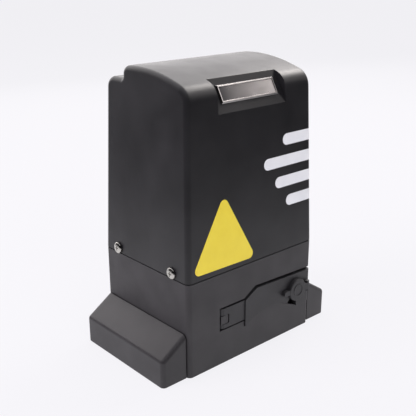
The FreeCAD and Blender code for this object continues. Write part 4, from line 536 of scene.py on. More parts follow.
for i, start in enumerate(BAR_STARTS):
    z_mid = BAR_FIRST_Z + BAR_STEP * i
    flat_end = HOOD_HIGH.x - (z_mid - HOOD_LOW.z) * DRAFT - CORNER_R
    end = flat_end + CORNER_R * math.pi / 2 + BAR_ROUND_CORNER
    vinyl_cut("sticker_bar_" + str(i + 1), bar_rows(start, end, z_mid), white_vinyl)


# Badge
# A bevelled frame of zinc, plated in dark nickel and polished, is stuck in the hood's pocket.
# Its face is a brushed sheet of the same plating, left bare. Both carry a painted reflection that changes
# along the badge.

BADGE_HALF = 42.0 * MM
FRAME_EDGE = 0.15 * MM
PLATE_CLOUD = 12 * MM
BRUSH_STRETCH = 0.04
BRUSH_LINE = 0.6 * MM
BRUSH_DEPTH = 0.05 * MM


def plate_with_painted_reflection(name, left, right, low, high):
    """Nickel plate with a painted reflection, which darkens or lightens along the badge."""
    finish, tree, shader = plain_finish(name, left, low, 1.0)
    place = on_object(tree)
    along = add_node(tree, "ShaderNodeSeparateXYZ", {"Vector": place}).outputs["X"]
    span = {"Value": along, "From Min": -BADGE_HALF, "From Max": BADGE_HALF}
    share = add_node(tree, "ShaderNodeMapRange", span).outputs[0]
    feed(shader, {"Base Color": two_tone(tree, share, left, right),
                  "Roughness": mottled(tree, place, PLATE_CLOUD, low, high)})
    return finish, tree, shader


def brushed_nickel():
    """The face is brushed along its length: fine lines 0.15 mm apart, drawn four times as coarse."""
    # The face has a painted reflection: dark at the left, light at the right.
    finish, tree, shader = plate_with_painted_reflection("brushed_dark_nickel", "38383a", "aeaaa9", 0.27, 0.32)
    stretched = {"Vector": on_object(tree), "Scale": (BRUSH_STRETCH, 1.0, 1.0)}
    along = add_node(tree, "ShaderNodeMapping", stretched).outputs[0]
    feed(shader, {"Normal": relief(tree, noise(tree, along, BRUSH_LINE), 0.5, BRUSH_DEPTH)})
    return finish


def painted(node, finish):
    """Give a part that keeps its shape the finish of the real one."""
    nodes[node].data.materials.clear()
    nodes[node].data.materials.append(finish)


# The frame has a painted reflection: lighter at the left, darker at the right.
polished_nickel = plate_with_painted_reflection("polished_dark_nickel", "969392", "656363", 0.14, 0.2)[0]
with_broken_edges("badge_frame", "badge_rim", FRAME_EDGE, polished_nickel, "badge_metal")
painted("badge_face", brushed_nickel())


# Hood screws
# Four pan-head machine screws of zinc-plated steel pass through the hood's slots into the rim's lugs.
# The heads are cold formed, with a tapered cross recess, and stay bright.

SCREW_LOW, SCREW_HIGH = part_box("hood_screws")
SCREW_HEAD_R = 6.6 * MM
SCREW_HEAD_H = 3.4 * MM
SCREW_SHANK_R = 2.6 * MM
SCREW_L = 12.0 * MM
SCREW_SIDES = 40
CROWN_FROM = 0.45 * SCREW_HEAD_H
CROWN_STEPS = 8
TIP_R = 0.8 * SCREW_SHANK_R
TIP_L = 0.8 * MM
RIM_EDGE = 0.3 * MM
RECESS_W = 1.2 * MM
RECESS_DEPTH = 2.0 * MM
RECESS_LOW_L = 1.705 * MM
RECESS_HIGH_L = 3.348 * MM
RECESS_PAST = 0.3 * MM
RECESS_EDGE = 0.12 * MM
DENT = 0.8 * MM
DENT_DEPTH = 0.03 * MM


def turned(name, profile, segments, hollow=False):
    """A round form from its half profile of radius and height, which is a closed line if it is hollow."""
    form = bmesh.new()
    angles = [2 * math.pi * k / segments for k in range(segments)]
    rings = []
    for radius, height in profile:
        spots = [(radius * math.cos(a), radius * math.sin(a), height) for a in angles]
        rings.append([form.verts.new(spot) for spot in (spots if radius else spots[:1])])
    for low, high in zip(rings, rings[1:] + (rings[:1] if hollow else [])):
        for k in range(segments):
            n = (k + 1) % segments
            corners = [low[k % len(low)], low[n % len(low)], high[n % len(high)], high[k % len(high)]]
            form.faces.new(list(dict.fromkeys(corners)))
    bmesh.ops.recalc_face_normals(form, faces=form.faces)
    return made(form, name)


def stacked(form, rows):
    """Join rows of points, each as long as the next, into a form with closed ends."""
    for low, high in zip(rows, rows[1:]):
        for k in range(len(low)):
            n = (k + 1) % len(low)
            form.faces.new((low[k], low[n], high[n], high[k]))
    form.faces.new(rows[0][::-1])
    form.faces.new(rows[-1])


def cut_by(piece, punch):
    """Take the form of one object out of another."""
    cut = piece.modifiers.new("cut", "BOOLEAN")
    cut.object = punch
    return cut


def cross_recess():
    """The tapered four-winged punch that forms the recess."""
    form = bmesh.new()
    ends = ((RECESS_LOW_L, SCREW_HEAD_H - RECESS_DEPTH), (RECESS_HIGH_L, SCREW_HEAD_H + RECESS_PAST))
    for angle in (0, math.pi / 2):
        turn = Matrix.Rotation(angle, 3, "Z")
        rows = []
        for x, z in ends:
            y = RECESS_W / 2
            corners = ((-x, -y, z), (x, -y, z), (x, y, z), (-x, y, z))
            rows.append([form.verts.new(turn @ Vector(corner)) for corner in corners])
        stacked(form, rows)
    return show("recess", made(form, "recess"))


def pan_head_screw():
    """One screw with its head outwards along Z."""
    angles = [math.pi / 2 * k / CROWN_STEPS for k in range(CROWN_STEPS)]
    crown_h = SCREW_HEAD_H - CROWN_FROM
    profile = [(0, -SCREW_L), (TIP_R, -SCREW_L), (SCREW_SHANK_R, TIP_L - SCREW_L), (SCREW_SHANK_R, 0),
               (SCREW_HEAD_R - RIM_EDGE, 0), (SCREW_HEAD_R, RIM_EDGE)]
    profile += [(SCREW_HEAD_R * math.cos(a), CROWN_FROM + crown_h * math.sin(a)) for a in angles]
    profile.append((0, SCREW_HEAD_H))
    screw = show("one_screw", turned("one_screw", profile, SCREW_SIDES))
    punch = cross_recess()
    cut_by(screw, punch).use_self = True
    edge = screw.modifiers.new("edge", "BEVEL")
    edge.width = RECESS_EDGE
    edge.limit_method = "ANGLE"
    edge.angle_limit = math.radians(40)
    mesh = as_mesh(screw)
    bpy.data.objects.remove(punch)
    mesh.shade_smooth()
    mesh.set_sharp_from_angle(angle=math.radians(38))
    return mesh


def new_tree(name, **inputs):
    """A geometry tree with its named inputs, and the sockets that hand them in."""
    tree = bpy.data.node_groups.new(name, "GeometryNodeTree")
    tree.interface.new_socket("Geometry", in_out="INPUT", socket_type="NodeSocketGeometry")
    for label, kind in inputs.items():
        tree.interface.new_socket(label, in_out="INPUT", socket_type="NodeSocket" + kind)
    tree.interface.new_socket("Geometry", in_out="OUTPUT", socket_type="NodeSocketGeometry")
    return tree, add_node(tree, "NodeGroupInput").outputs


def finished(tree, geometry, finish):
    """Make the copies real, give them their finish and hand them out of the tree."""
    real = add_node(tree, "GeometryNodeRealizeInstances", {"Geometry": geometry}).outputs[0]
    coloured = add_node(tree, "GeometryNodeSetMaterial", {"Geometry": real, "Material": finish})
    add_node(tree, "NodeGroupOutput", {"Geometry": coloured.outputs[0]})
    return tree


def repeat_tree():
    """Nodes that set one part on every point of a mesh, turned as the point says, in one finish."""
    tree, given = new_tree("repeat_part", Part="Object", Scale="Float", Finish="Material")
    part = add_node(tree, "GeometryNodeObjectInfo", {"Object": given["Part"]})
    turn = add_node(tree, "GeometryNodeInputNamedAttribute", {"Name": "turn"}, data_type="FLOAT_VECTOR")
    spots = add_node(tree, "GeometryNodeMeshToPoints", {"Mesh": given["Geometry"]})
    copies = add_node(tree, "GeometryNodeInstanceOnPoints",
                      {"Points": spots.outputs[0], "Instance": part.outputs["Geometry"],
                       "Rotation": turn.outputs["Attribute"], "Scale": given["Scale"]})
    return finished(tree, copies.outputs[0], given["Finish"])


REPEAT = repeat_tree()


def grown(name, tree, start, values):
    """The plain mesh that a node tree makes from a start mesh and its named inputs."""
    holder = show(name, start)
    modifier = holder.modifiers.new(name, "NODES")
    modifier.node_group = tree
    for item in tree.interface.items_tree:
        if item.in_out == "INPUT" and item.name in values:
            modifier[item.identifier] = values[item.name]
    mesh = as_mesh(holder)
    mesh.name = name
    return mesh


def repeated(name, part_mesh, places, turns, finish):
    """One mesh of equal parts at their places, made by the repeat nodes."""
    spots = bpy.data.meshes.new(name + "_spots")
    spots.from_pydata(places, [], [])
    attribute = spots.attributes.new("turn", "FLOAT_VECTOR", "POINT")
    for item, turn in zip(attribute.data, turns):
        item.vector = turn
    part = show(name + "_part", part_mesh)
    mesh = grown(name, REPEAT, spots, {"Part": part, "Scale": 1.0, "Finish": finish})
    bpy.data.objects.remove(part)
    return mesh


def bright_zinc():
    """Zinc plate on cold-formed steel: bright, with a faint haze and small dents."""
    finish, tree, shader = plain_finish("bright_zinc", "c9c6c1", 0.24, 1.0)
    place = on_object(tree)
    feed(shader, {"Roughness": mottled(tree, place, 2.5 * MM, 0.18, 0.34),
                  "Normal": relief(tree, noise(tree, place, DENT), 0.2, DENT_DEPTH)})
    return finish


zinc = bright_zinc()
seat = SCREW_HIGH.x - SCREW_HEAD_H
screw_y = SCREW_HIGH.y - SCREW_HEAD_R
screw_z = (SCREW_LOW.z + SCREW_HIGH.z) / 2
screw_places = [(side * seat, y, screw_z) for side in (-1, 1) for y in (-screw_y, screw_y)]
screw_turns = [(0, side * math.pi / 2, 0) for side in (-1, -1, 1, 1)]
screws = repeated("seam_screws", pan_head_screw(), screw_places, screw_turns, zinc)
placed(show("seam_screws", screws), "base", "bright_steel", "hood_screws")


# Base housing
# A pressure die casting in aluminium, with its gear chamber, bearing bosses and ears in one piece.
# It is powder coated in black, which leaves a slight orange peel and soft edges.

HOUSING_EDGE = 0.4 * MM
EAR_EDGE = 0.6 * MM
PEEL = 1.5 * MM
PEEL_DEPTH = 0.06 * MM


def powder_coat():
    """Black powder coat: matter than the hood, with an orange peel of 1.5 mm."""
    finish, tree, shader = plain_finish("powder_coat_black", "2d2b2e", 0.5)
    place = on_object(tree)
    feed(shader, {"Base Color": two_tone(tree, mottled(tree, place, 35 * MM), "2a282b", "312f32"),
                  "Roughness": mottled(tree, place, 25 * MM, 0.46, 0.56),
                  "Normal": relief(tree, noise(tree, place, PEEL, 3.0), 0.3, PEEL_DEPTH)})
    return finish


coat = powder_coat()
housing = joined(("base_housing", "front_wall"))
edged("cast_housing", housing, HOUSING_EDGE, coat, "cast_black", "base_housing", "front_wall")
with_broken_edges("anchor_ears", "cast_ears", EAR_EDGE, coat, "cast_black")
painted("inner_bosses", coat)


# Foot covers
# Two snap-on covers of black ABS hide the anchor bolts. They are from the same kind of mould as the hood.

COVER_EDGE = 0.4 * MM

cover_finish = moulded_abs("moulded_abs_cover", "302e31", "282629", 0.45)
for side in ("left", "right"):
    with_broken_edges("foot_cover_" + side, "cover_" + side, COVER_EDGE, cover_finish, "cover_plastic")


# Release lever and dust cap
# The lever is moulded in glass-filled nylon, matter than ABS, and turns on a steel pin in the housing.
# A dust cap of the same nylon turns in front of its lock.

LEVER_EDGE = 0.35 * MM
DUST_CAP_EDGE = 0.3 * MM
NYLON_GRAIN = 1.3 * MM

lever_finish = moulded_abs("moulded_nylon_lever", "2b2a2d", "242326", 0.5, NYLON_GRAIN)
with_broken_edges("release_lever", "lever_arm", LEVER_EDGE, lever_finish, "lever_plastic")
with_broken_edges("lock_dust_cap", "dust_cap", DUST_CAP_EDGE, lever_finish, "lever_plastic")


# Lock, pins and small steel parts of the lever
# The barrel is turned brass under bright plate, its cam is stamped and zinc plated, and both pins are
# ground steel.

TOOL_LINE = 0.8 * MM
TOOL_DEPTH = 0.02 * MM


def bands(tree, place, period, direction, distortion=0.0):
    """Even bands at a real distance from each other, across one axis."""
    sources = {"Vector": place, "Scale": math.pi / 10 / period, "Distortion": distortion, "Detail": 2.0}
    return add_node(tree, "ShaderNodeTexWave", sources, bands_direction=direction).outputs["Fac"]


def machined(name, colour, rough, line=TOOL_LINE):
    """Metal from the lathe, hob or mill: hazy, with tool lines 0.2 mm apart, drawn four times as coarse."""
    finish, tree, shader = plain_finish(name, colour, rough, 1.0)
    place = on_object(tree)
    feed(shader, {"Roughness": mottled(tree, place, 6 * MM, rough - 0.06, rough + 0.08),
                  "Normal": relief(tree, bands(tree, place, line, "Y", 1.5), 0.15, TOOL_DEPTH)})
    return finish


turned_steel = machined("turned_steel", "a8a7a5", 0.28)
for node in ("lock_barrel", "lever_hinge_pin", "dust_cap_pin"):
    painted(node, turned_steel)
painted("lock_cam", zinc)


# Cable grommet, seal and gasket
# Black nitrile rubber, moulded, with a dull dusty surface.

GROMMET_EDGE = 0.6 * MM
RUBBER_GRAIN = 1.2 * MM
MOULD_GRAIN = 0.8 * MM
BLAST_PIT = 0.9 * MM
PIT_DEPTH = 0.05 * MM


def pitted(name, colour, rough, grain=BLAST_PIT, metal=1.0):
    """A blasted or moulded surface: fine pits all over, which break up its shine."""
    finish, tree, shader = plain_finish(name, colour, rough, metal)
    place = on_object(tree)
    feed(shader, {"Roughness": mottled(tree, place, 10 * MM, rough - 0.05, rough + 0.08),
                  "Normal": relief(tree, noise(tree, place, grain, 3.0), 0.4, PIT_DEPTH)})
    return finish


def moulded(name, colour, rough, grain=MOULD_GRAIN):
    """A small moulding with a faint grain."""
    return pitted(name, colour, rough, grain, 0.0)


rubber = moulded("moulded_rubber", "1b1b1c", 0.75, RUBBER_GRAIN)
with_broken_edges("cable_grommet", "grommet", GROMMET_EDGE, rubber, "rubber")
painted("shaft_seal", rubber)
painted("seam_gasket", rubber)


# Levelling screws
# Four zinc-plated grub screws with a slot, threaded through the ears.

GRUB_EDGE = 0.4 * MM

with_broken_edges("levelling_screws", "grub_screws", GRUB_EDGE, zinc, "steel")


# Output shaft, pinion and bolt
# The shaft is turned and ground, the pinion is hobbed from the bar, and a hexagon bolt with a thick washer
# keeps it on. The gear's edges are broken by a file.

PINION_EDGE = 0.3 * MM
BOLT_EDGE = 0.4 * MM

hobbed_steel = machined("hobbed_steel", "8d8c8b", 0.34)
with_broken_edges("output_pinion", "rack_pinion", PINION_EDGE, hobbed_steel, "gear_steel")
with_broken_edges("pinion_bolt", "pinion_bolt_and_washer", BOLT_EDGE, turned_steel, "bright_steel")
painted("output_shaft", turned_steel)
painted("shaft_key", turned_steel)


# Ball bearings
# The shaft's two have a ground outer and inner ring and two pressed steel shields, which lie 0.6 mm below the
# rings' faces. The worm's two are small and covered, and keep their plain form.

SHAFT_Z = 56.0 * MM
BEARING_STARTS = (-52.0 * MM, 50.0 * MM)
BEARING_W = 14.0 * MM
BORE_R = 10.05 * MM
OUTER_R = 23.5 * MM
RACE_T = 3.5 * MM
SHIELD_SUNK = 0.6 * MM
RING_EDGE = 0.5 * MM
RING_SIDES = 72
ALONG_Y = (-math.pi / 2, 0.0, 0.0)


def ball_bearing():
    """One bearing with its lower face at zero and its axis along Z."""
    shield = (BORE_R + RACE_T, OUTER_R - RACE_T)
    low = [(BORE_R, RING_EDGE), (BORE_R + RING_EDGE, 0), (shield[0], 0), (shield[0], SHIELD_SUNK),
           (shield[1], SHIELD_SUNK), (shield[1], 0), (OUTER_R - RING_EDGE, 0), (OUTER_R, RING_EDGE)]
    high = [(radius, BEARING_W - height) for radius, height in low[::-1]]
    mesh = turned("shaft_ball_bearings", low + high, RING_SIDES, hollow=True)
    mesh.shade_smooth()
    mesh.set_sharp_from_angle(angle=math.radians(30))
    return mesh


bearings = repeated("shaft_ball_bearings", ball_bearing(), [(0, y, SHAFT_Z) for y in BEARING_STARTS],
                    [ALONG_Y] * 2, turned_steel)
placed(show("shaft_ball_bearings", bearings), "base", "steel", "shaft_bearings")
painted("worm_bearings", turned_steel)


# Worm gear
# A cast bronze wheel with a hobbed rim, driven by a hardened and ground worm on the motor's own shaft.

TOOTH_EDGE = 0.2 * MM

bronze = machined("turned_bronze", "b98d52", 0.3)
with_broken_edges("worm_wheel", "bronze_wheel", TOOTH_EDGE, bronze, "bronze")
painted("worm_shaft", turned_steel)


# Dog clutch, release fork and clutch spring
# The sleeve and the fork are milled steel. The spring is wound from 2 mm spring wire with five turns.

SPRING_START = 23.75 * MM
SPRING_END = 49.55 * MM
SPRING_R = 15.0 * MM
SPRING_WIRE_R = 1.0 * MM
SPRING_TURNS = 5.0
CLUTCH_EDGE = 0.3 * MM
WIRE_SIDES = 8
TURN_STEPS = 20


def coil_tree():
    """Nodes that wind a round wire into a coil, with its sizes, place, turn and finish as inputs."""
    tree, given = new_tree("wire_coil", Radius="Float", Wire="Float", Turns="Float", Length="Float",
                           Place="Vector", Turn="Vector", Finish="Material")
    line = add_node(tree, "GeometryNodeCurveSpiral",
                    {"Resolution": TURN_STEPS, "Rotations": given["Turns"], "Start Radius": given["Radius"],
                     "End Radius": given["Radius"], "Height": given["Length"]})
    section = add_node(tree, "GeometryNodeCurvePrimitiveCircle",
                       {"Resolution": WIRE_SIDES, "Radius": given["Wire"]})
    wire = add_node(tree, "GeometryNodeCurveToMesh",
                    {"Curve": line.outputs[0], "Profile Curve": section.outputs[0], "Fill Caps": True})
    set_down = add_node(tree, "GeometryNodeTransform",
                        {"Geometry": wire.outputs[0], "Translation": given["Place"],
                         "Rotation": given["Turn"]})
    return finished(tree, set_down.outputs[0], given["Finish"])


COIL = coil_tree()


def coil(name, node, body, values):
    """A wire coil in place of a plain spring."""
    mesh = grown(name, COIL, bpy.data.meshes.new(name + "_start"), values)
    mesh.shade_smooth()
    return placed(show(name, mesh), body, "steel", node)


with_broken_edges("clutch_sleeve", "sliding_sleeve", CLUTCH_EDGE, hobbed_steel, "gear_steel")
with_broken_edges("release_fork", "fork_and_rod", CLUTCH_EDGE, turned_steel, "steel")
clutch_coil = coil("clutch_coil", "clutch_spring", "output_shaft",
                   {"Radius": SPRING_R, "Wire": SPRING_WIRE_R, "Turns": SPRING_TURNS,
                    "Length": SPRING_END - SPRING_START - 2 * SPRING_WIRE_R, "Turn": ALONG_Y,
                    "Place": (0.0, SPRING_START + SPRING_WIRE_R, SHAFT_Z), "Finish": turned_steel})
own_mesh(clutch_coil)


# Motor
# The can, flange and cap are die cast aluminium, blasted. Inside are a stack of 0.5 mm laminations, end
# windings of varnished copper tied into round bundles, and the rotor's stack.

CASTING_EDGE = 0.5 * MM
MOTOR_CAP_EDGE = 0.6 * MM
BUNDLE_R = 2.5 * MM
SHEET_PERIOD = 1.0 * MM
SHEET_DEPTH = 0.1 * MM
COPPER_LINE = 1.0 * MM


def stacked_sheet():
    """The edge of a stack of laminations: thin dark lines between bright edges, drawn twice as coarse."""
    finish, tree, shader = plain_finish("stacked_sheet", "77767a", 0.4, 1.0)
    sheets = bands(tree, on_object(tree), SHEET_PERIOD, "Z")
    feed(shader, {"Base Color": two_tone(tree, sheets, "5e5d61", "8a898d"),
                  "Normal": relief(tree, sheets, 0.5, SHEET_DEPTH)})
    return finish


cast_aluminium = pitted("cast_aluminium", "b4b5b7", 0.42)
copper = machined("varnished_copper", "a4542b", 0.3, COPPER_LINE)
laminations = stacked_sheet()
with_broken_edges("motor_housing", "motor_can", CASTING_EDGE, cast_aluminium, "aluminium")
with_broken_edges("motor_end_cap", "motor_cap", MOTOR_CAP_EDGE, cast_aluminium, "aluminium")
with_broken_edges("motor_flange", "flange", CASTING_EDGE, cast_aluminium, "aluminium")
with_broken_edges("motor_windings", "end_windings", BUNDLE_R, copper, "copper")
painted("motor_stator", laminations)
painted("motor_rotor", laminations)


# Deck plate, its screws and the oil plug
# The plate is cast and milled flat, and hexagon screws hold it and the motor.

DECK_EDGE = 0.4 * MM
HEXAGON_EDGE = 0.3 * MM
PLUG_EDGE = 0.5 * MM

with_broken_edges("deck_plate", "deck", DECK_EDGE, cast_aluminium, "aluminium")
with_broken_edges("cap_screws", "hexagon_screws", HEXAGON_EDGE, zinc, "steel")
with_broken_edges("oil_plug", "filler_plug", PLUG_EDGE, zinc, "bronze")


# Run capacitor and its clip
# A white moulded can with two tin-plated tabs, held by a bent strap of plated spring steel.

CAPACITOR_EDGE = 0.4 * MM

white_moulding = moulded("white_moulding", "d8d7d2", 0.35)
with_broken_edges("run_capacitor", "capacitor_can", CAPACITOR_EDGE, white_moulding, "white_part")
painted("capacitor_clip", zinc)


# Transformer
# Laminated core round a bobbin that is wrapped in yellow polyester tape.

TAPE_EDGE = 0.5 * MM

wound_tape = moulded("polyester_tape", "d9b64a", 0.4)
with_broken_edges("transformer_coil", "taped_coil", TAPE_EDGE, wound_tape, "tape")
painted("transformer_core", laminations)


# Control board
# A glass-epoxy board with green solder mask on a bent plated bracket. It carries relays, a terminal strip
# with plated screws, a finned heat sink, two electrolytic cans, a processor with its leads, a fuse and
# small chips. Profiles and patches are in millimetres.

BOARD_Y = 10.0 * MM
OUT_OF_BOARD = (math.pi / 2, 0, 0)
SUNK_IN_BOARD = 0.3 * MM
TRACK_GROUP = 18 * MM
TRACK_DEPTH = 0.05 * MM
SHEET_GRAIN = 6 * MM
BRACKET_EDGE = 0.3 * MM
RELAY_EDGE = 0.5 * MM
STRIP_EDGE = 0.3 * MM
SINK_EDGE = 0.25 * MM
TERMINALS = 8
TERMINAL_LEFT = -72.0 * MM
TERMINAL_STEP = 7.5 * MM
TERMINAL_Y = 1.0 * MM
TERMINAL_Z = 125.0 * MM
TERMINAL_TURN = 0.3
TERMINAL_PROFILE = ((0, 0), (1.9, 0), (1.9, 0.8), (1.5, 1.2), (0, 1.2))
TERMINAL_SIDES = 20
SLOT_LOW = (-2.5 * MM, -0.3 * MM, 0.7 * MM)
SLOT_HIGH = (2.5 * MM, 0.3 * MM, 1.9 * MM)
CAN_PLACES = ((-32.0 * MM, 186.0 * MM), (-14.0 * MM, 186.0 * MM))
CAN_PROFILE = ((0, 0), (6.5, 0), (6.5, 2.0), (5.9, 2.8), (6.5, 3.6), (6.5, 17.2), (5.7, 18.0), (4.9, 17.7),
               (0, 17.7))
CAN_SIDES = 36
CHIP_LOW = (-44.0 * MM, 204.0 * MM)
CHIP_HIGH = (-22.0 * MM, 214.0 * MM)
CHIP_T = 2.5 * MM
CHIP_EDGE = 0.25 * MM
LEAD_STEP = 2.0 * MM
LEAD_PROFILE = ((0, 1.2), (0.5, 1.2), (0.9, 0.2), (1.6, 0.2))
LEAD_HALF = 0.3
LEAD_T = 0.2
FUSE_PLACE = (-20.0 * MM, BOARD_Y - 6.0 * MM, 0.0)
FUSE_LOW = 150.0 * MM
FUSE_HIGH = 170.0 * MM
TUBE_R = 2.4 * MM
TUBE_SIDES = 24
CLIP_LOW = (-3.2 * MM, -3.0 * MM, 0.0)
CLIP_HIGH = (3.2 * MM, 6.0 * MM, 5.0 * MM)
CLIP_STARTS = (148.5 * MM, 166.5 * MM)
CLIP_EDGE = 0.5 * MM
CHIP_PATCHES = ((-81, -50, 194, 217), (-18, -1, 199, 231), (-81, -28, 158, 169), (-14, -1, 145, 172))
CHIP_GAP = 4.2 * MM
CHIP_SIZE = (2.4 * MM, 0.9 * MM, 1.4 * MM)
CHIP_SEED = 7
CHIPS_AT_MOST = 60000.0


def solder_mask():
    """Green mask over copper tracks 1 mm wide, which show as lighter raised lines."""
    finish, tree, shader = plain_finish("solder_mask", "0f5a2e", 0.32)
    upright = add_node(tree, "ShaderNodeMapping", {"Vector": on_object(tree), "Rotation": OUT_OF_BOARD})
    tracks = add_node(tree, "ShaderNodeTexBrick",
                      {"Vector": upright.outputs[0], "Scale": 1 / TRACK_GROUP, "Mortar Size": 0.02,
                       "Mortar Smooth": 0.0, "Brick Width": 2.3, "Row Height": 0.13},
                      offset=0.37, squash=0.6, squash_frequency=3).outputs["Fac"]
    feed(shader, {"Base Color": two_tone(tree, tracks, "0d4f28", "2f8350"),
                  "Normal": relief(tree, tracks, 0.5, TRACK_DEPTH)})
    return finish


def scatter_tree():
    """Nodes that strew small chips over flat patches, with their gap, size, seed and finish as inputs."""
    tree, given = new_tree("small_chips", Gap="Float", Size="Vector", Seed="Int", Finish="Material")
    spots = add_node(tree, "GeometryNodeDistributePointsOnFaces",
                     {"Mesh": given["Geometry"], "Distance Min": given["Gap"], "Density Max": CHIPS_AT_MOST,
                      "Seed": given["Seed"]}, distribute_method="POISSON")
    chip = add_node(tree, "GeometryNodeMeshCube", {"Size": given["Size"]})
    quarter = add_node(tree, "FunctionNodeRandomValue", {4: 0, 5: 1, "Seed": given["Seed"]}, data_type="INT")
    angle = add_node(tree, "ShaderNodeMath", {0: quarter.outputs[2], 1: math.pi / 2}, operation="MULTIPLY")
    turn = add_node(tree, "ShaderNodeCombineXYZ", {"Y": angle.outputs[0]})
    grow = add_node(tree, "FunctionNodeRandomValue", {2: 0.7, 3: 1.5, "Seed": given["Seed"]},
                    data_type="FLOAT")
    copies = add_node(tree, "GeometryNodeInstanceOnPoints",
                      {"Points": spots.outputs["Points"], "Instance": chip.outputs["Mesh"],
                       "Rotation": turn.outputs[0], "Scale": grow.outputs[1]})
    return finished(tree, copies.outputs[0], given["Finish"])


def on_board(name, mesh, slot, *replaced):
    """A finished piece of the board, on the base's body."""
    placed(show(name, mesh), "base", slot, *replaced)


def board_patches():
    """The free patches of the board that carry small chips."""
    mesh = bpy.data.meshes.new("patches")
    points, faces = [], []
    for x0, x1, z0, z1 in CHIP_PATCHES:
        faces.append(tuple(range(len(points), len(points) + 4)))
        corners = ((x0, z0), (x1, z0), (x1, z1), (x0, z1))
        points += [(x * MM, BOARD_Y - SUNK_IN_BOARD, z * MM) for x, z in corners]
    mesh.from_pydata(points, [], faces)
    return mesh


def in_metres(profile):
    """A profile in millimetres, in metres."""
    return [(x * MM, z * MM) for x, z in profile]


def block(low, high):
    """A rectangular form between two corners."""
    form = bmesh.new()
    bmesh.ops.create_cube(form, size=1.0)
    low, high = Vector(low), Vector(high)
    bmesh.ops.scale(form, vec=high - low, verts=form.verts)
    bmesh.ops.translate(form, vec=(low + high) / 2, verts=form.verts)
    return form


def slotted_screw():
    """A small terminal screw with its slot, head outwards along Z."""
    head = turned("terminal_screw", in_metres(TERMINAL_PROFILE), TERMINAL_SIDES)
    screw = show("terminal_screw", head)
    punch = show("blade", made(block(SLOT_LOW, SLOT_HIGH), "blade"))
    cut_by(screw, punch)
    mesh = as_mesh(screw)
    bpy.data.objects.remove(punch)
    return mesh


def electrolytic_can():
    """One can with its crimped waist and its scored top, standing along Z."""
    return turned("electrolytic_can", in_metres(CAN_PROFILE), CAN_SIDES)


def bevelled_box(name, low, high, radius):
    """A moulded block with soft edges."""
    form = block(low, high)
    bmesh.ops.bevel(form, geom=form.edges, offset=radius, segments=2, affect="EDGES")
    return made(form, name)


def bent_lead():
    """One flat lead that leaves a chip's side and bends down to the board, along Z."""
    form = bmesh.new()
    section = ((-LEAD_HALF, 0), (LEAD_HALF, 0), (LEAD_HALF, LEAD_T), (-LEAD_HALF, LEAD_T))
    rows = []
    for x, z in LEAD_PROFILE:
        rows.append([form.verts.new((x * MM, y * MM, (z + up) * MM)) for y, up in section])
    stacked(form, rows)
    return made(form, "lead")


def glass_tube():
    """Clear glass of the fuse, a little grey at its edge."""
    finish, tree, shader = plain_finish("fuse_glass", "dfe6e6", 0.08)
    shader.inputs["Transmission Weight"].default_value = 0.9
    shader.inputs["IOR"].default_value = 1.5
    return finish


board_green = solder_mask()
black_moulding = moulded("black_moulding", "202022", 0.45)
blue_moulding = moulded("blue_moulding", "1f4f9c", 0.35)
green_moulding = moulded("green_moulding", "2f8c4a", 0.4)
painted("control_board", board_green)
painted("board_screws", zinc)
zinc_sheet = pitted("zinc_plated_sheet", "aeada9", 0.38, SHEET_GRAIN)
with_broken_edges("board_bracket", "bracket", BRACKET_EDGE, zinc_sheet, "steel")
with_broken_edges("relays", "relay_boxes", RELAY_EDGE, blue_moulding, "blue_part")
with_broken_edges("terminal_block", "terminal_strip", STRIP_EDGE, green_moulding, "green_part")
with_broken_edges("heat_sink", "finned_sink", SINK_EDGE, cast_aluminium, "aluminium")

terminal_xs = [TERMINAL_LEFT + TERMINAL_STEP * (i + 0.5) for i in range(TERMINALS)]
terminal_turns = [(math.pi / 2, TERMINAL_TURN * i, 0) for i in range(TERMINALS)]
on_board("terminal_screws", repeated("terminal_screws", slotted_screw(),
                                     [(x, TERMINAL_Y, TERMINAL_Z) for x in terminal_xs],
                                     terminal_turns, zinc), "steel")
on_board("electrolytic_cans", repeated("electrolytic_cans", electrolytic_can(),
                                       [(x, BOARD_Y, z) for x, z in CAN_PLACES],
                                       [OUT_OF_BOARD] * 2, cast_aluminium), "aluminium")
processor = bevelled_box("processor", (CHIP_LOW[0], BOARD_Y - CHIP_T, CHIP_LOW[1]),
                         (CHIP_HIGH[0], BOARD_Y - SUNK_IN_BOARD, CHIP_HIGH[1]), CHIP_EDGE)
processor.materials.append(black_moulding)
on_board("processor", processor, "black_part", "board_parts")
leads = int((CHIP_HIGH[0] - CHIP_LOW[0]) / LEAD_STEP)
lead_xs = [CHIP_LOW[0] + LEAD_STEP * (i + 0.5) for i in range(leads)]
lead_spots = [(x, BOARD_Y, z) for z in (CHIP_LOW[1], CHIP_HIGH[1]) for x in lead_xs]
lead_turns = [(math.pi / 2, side, 0) for side in (math.pi / 2, -math.pi / 2) for x in lead_xs]
on_board("processor_leads", repeated("processor_leads", bent_lead(), lead_spots, lead_turns, zinc), "steel")
tube_profile = [(0, FUSE_LOW), (TUBE_R, FUSE_LOW), (TUBE_R, FUSE_HIGH), (0, FUSE_HIGH)]
tube = turned("fuse_tube", tube_profile, TUBE_SIDES)
tube.transform(Matrix.Translation(FUSE_PLACE))
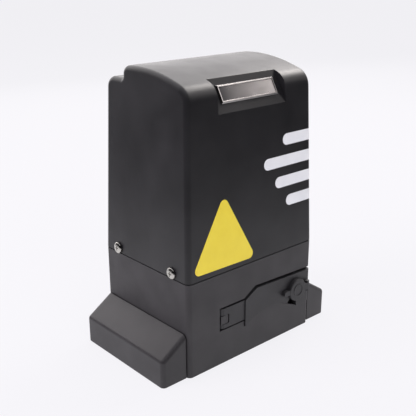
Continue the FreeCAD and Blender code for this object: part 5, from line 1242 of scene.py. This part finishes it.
tube.materials.append(glass_tube())
on_board("fuse_tube", tube, "white_part")
clip = bevelled_box("fuse_end", CLIP_LOW, CLIP_HIGH, CLIP_EDGE)
on_board("fuse_clips", repeated("fuse_clips", clip, [(*FUSE_PLACE[:2], z) for z in CLIP_STARTS],
                                [(0, 0, 0)] * 2, zinc), "steel")
chips = grown("small_chips", scatter_tree(), board_patches(),
              {"Gap": CHIP_GAP, "Size": CHIP_SIZE, "Seed": CHIP_SEED, "Finish": black_moulding})
chips.shade_smooth()
on_board("small_chips", chips, "black_part")


# Push buttons
# Square black switch bodies with white caps that stand out of round wells.

SWITCH_EDGE = 0.4 * MM
BUTTON_EDGE = 0.3 * MM

with_broken_edges("button_switches", "switch_bodies", SWITCH_EDGE, black_moulding, "black_part")
for i in "123":
    with_broken_edges("board_button_" + i, "button_cap_" + i, BUTTON_EDGE, white_moulding, "white_part")


# Limit switch and its wand
# A black moulded case in the hood's rear cut-out. The wand is a close-wound coil of 0.9 mm spring wire, so
# that it gives way to the rack's end stops, with a rubber tip.

CASE_EDGE = 0.4 * MM
HUB_EDGE = 0.3 * MM
WAND_TIP_EDGE = 0.5 * MM
WAND_Z = 136.0 * MM
WAND_START = 77.0 * MM
WAND_END = 118.5 * MM
WAND_COIL_R = 2.3 * MM
WAND_WIRE_R = 0.45 * MM
WAND_PITCH = 0.95 * MM

with_broken_edges("limit_switch_box", "limit_case", CASE_EDGE, black_moulding, "black_part")
painted("microswitches", black_moulding)
with_broken_edges("limit_switch_hub", "wand_hub", HUB_EDGE, white_moulding, "black_part")
with_broken_edges("wand_tip", "rubber_tip", WAND_TIP_EDGE, rubber, "black_part")
wand_length = WAND_END - WAND_START - 2 * WAND_WIRE_R
coil("wand_coil", "wand_spring", "limit_wand",
     {"Radius": WAND_COIL_R, "Wire": WAND_WIRE_R, "Turns": wand_length / WAND_PITCH, "Length": wand_length,
      "Place": (0.0, WAND_START + WAND_WIRE_R, WAND_Z), "Turn": ALONG_Y, "Finish": turned_steel})
